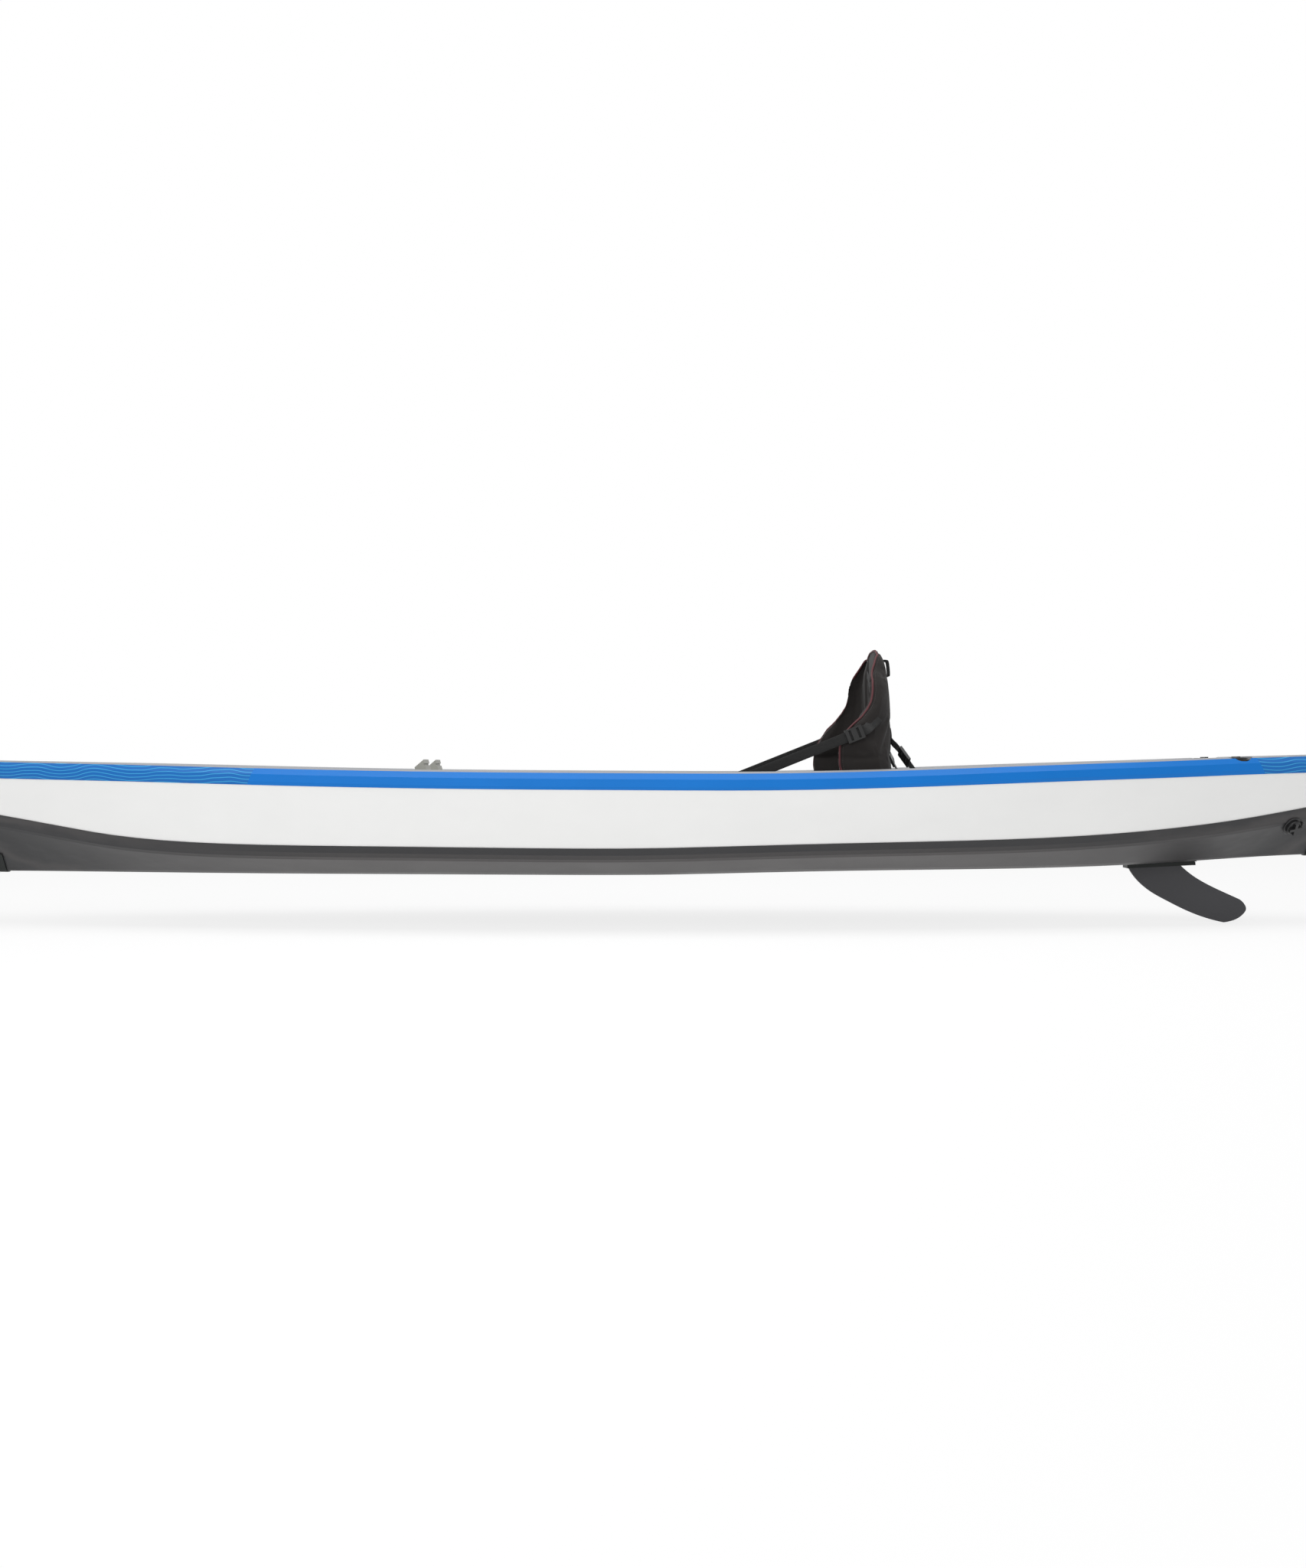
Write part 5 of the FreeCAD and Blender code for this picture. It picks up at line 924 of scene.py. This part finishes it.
# %% [markdown]
# ## Valve springs
# A small coil under each valve's button holds it shut. It has to shorten when the button is
# pressed; here it is wound as a separate wire in place of the workshop's spring.
# %% Springs
SPRING_WIRE = 0.00045
SPRING_TURNS = 3
STEPS_PER_TURN = 16
for name in ("port", "starboard", "floor"):
    low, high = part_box(f"{name}_valve_spring")
    middle, radius = (low + high) / 2, (high.x - low.x) / 2 - SPRING_WIRE
    foot, rise = low.z + SPRING_WIRE, high.z - low.z - 2 * SPRING_WIRE
    coil = []
    for step in range(SPRING_TURNS * STEPS_PER_TURN + 1):
        angle = math.tau * step / STEPS_PER_TURN
        out = Vector((radius * math.cos(angle), radius * math.sin(angle)))
        up = rise * step / (SPRING_TURNS * STEPS_PER_TURN)
        coil.append(Vector((middle.x + out.x, middle.y + out.y, foot + up)))
    spring = tube(f"{name}_valve_coil", coil, SPRING_WIRE, sides=1)
    spring.data.materials.append(steel)
    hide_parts(f"{name}_valve_spring")
    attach(spring, "hull")
    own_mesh(spring)

# %% [markdown]
# ## Stitching
# A row of thread follows the piping, a few millimetres in from the edge. One stitch is modelled
# and copied along the line.
# %% Stitches
STITCH_PITCH = 0.0052
STITCH_SIZE = (STITCH_PITCH * 0.62, 0.0008, 0.0006)
STITCH_EDGE = 0.0002
STITCH_LIFT = 0.0002
SEAM_IN, SEAM_ACROSS = 0.008, 0.002
thread, *_ = finish("thread", (0.06, 0.05, 0.05), roughness=0.6, values={"Grain": 4000.0},
                    bump=0.2, distance=0.0001)


def stitches(name, line, piece):
    """Short stitches along a line on a piece's surface, each one turned along the line."""
    deselect()
    bpy.ops.mesh.primitive_cube_add(size=1)
    bpy.ops.object.mode_set(mode="EDIT")
    bpy.ops.transform.resize(value=STITCH_SIZE)
    bpy.ops.mesh.bevel(offset=STITCH_EDGE, segments=1, affect="EDGES")
    bpy.ops.object.mode_set(mode="OBJECT")
    first = bpy.context.object
    left, copies = 0.0, [first]
    for one, two in zip(line, line[1:]):
        run = (two - one).length
        while left < run:
            place = one.lerp(two, left / run)
            _, point, normal, _ = piece.closest_point_on_mesh(place)
            along = (two - one).normalized()
            across = normal.cross(along).normalized()
            turn = Matrix((along, across, across.cross(along) * -1)).transposed().to_4x4()
            copy = first.copy()
            copy.data = first.data.copy()
            copy.data.transform(Matrix.Translation(point + normal * STITCH_LIFT) @ turn)
            scene.collection.objects.link(copy)
            copies.append(copy)
            left += STITCH_PITCH
        left -= run
    deselect()
    for copy in copies[1:]:
        copy.select_set(True)
    bpy.context.view_layer.objects.active = copies[1]
    bpy.ops.object.join()
    row = bpy.context.object
    row.name = row.data.name = name
    bpy.data.objects.remove(first)
    row.data.materials.append(thread)
    print(name, "has", len(copies) - 1, "stitches")
    return row


seam_line = [surface_point(back, p + Vector((SEAM_IN, math.copysign(SEAM_ACROSS, p.y), 0)), 0)
             for p in rim_line]
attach(stitches("seat_back_stitches", seam_line, back), "backrest")
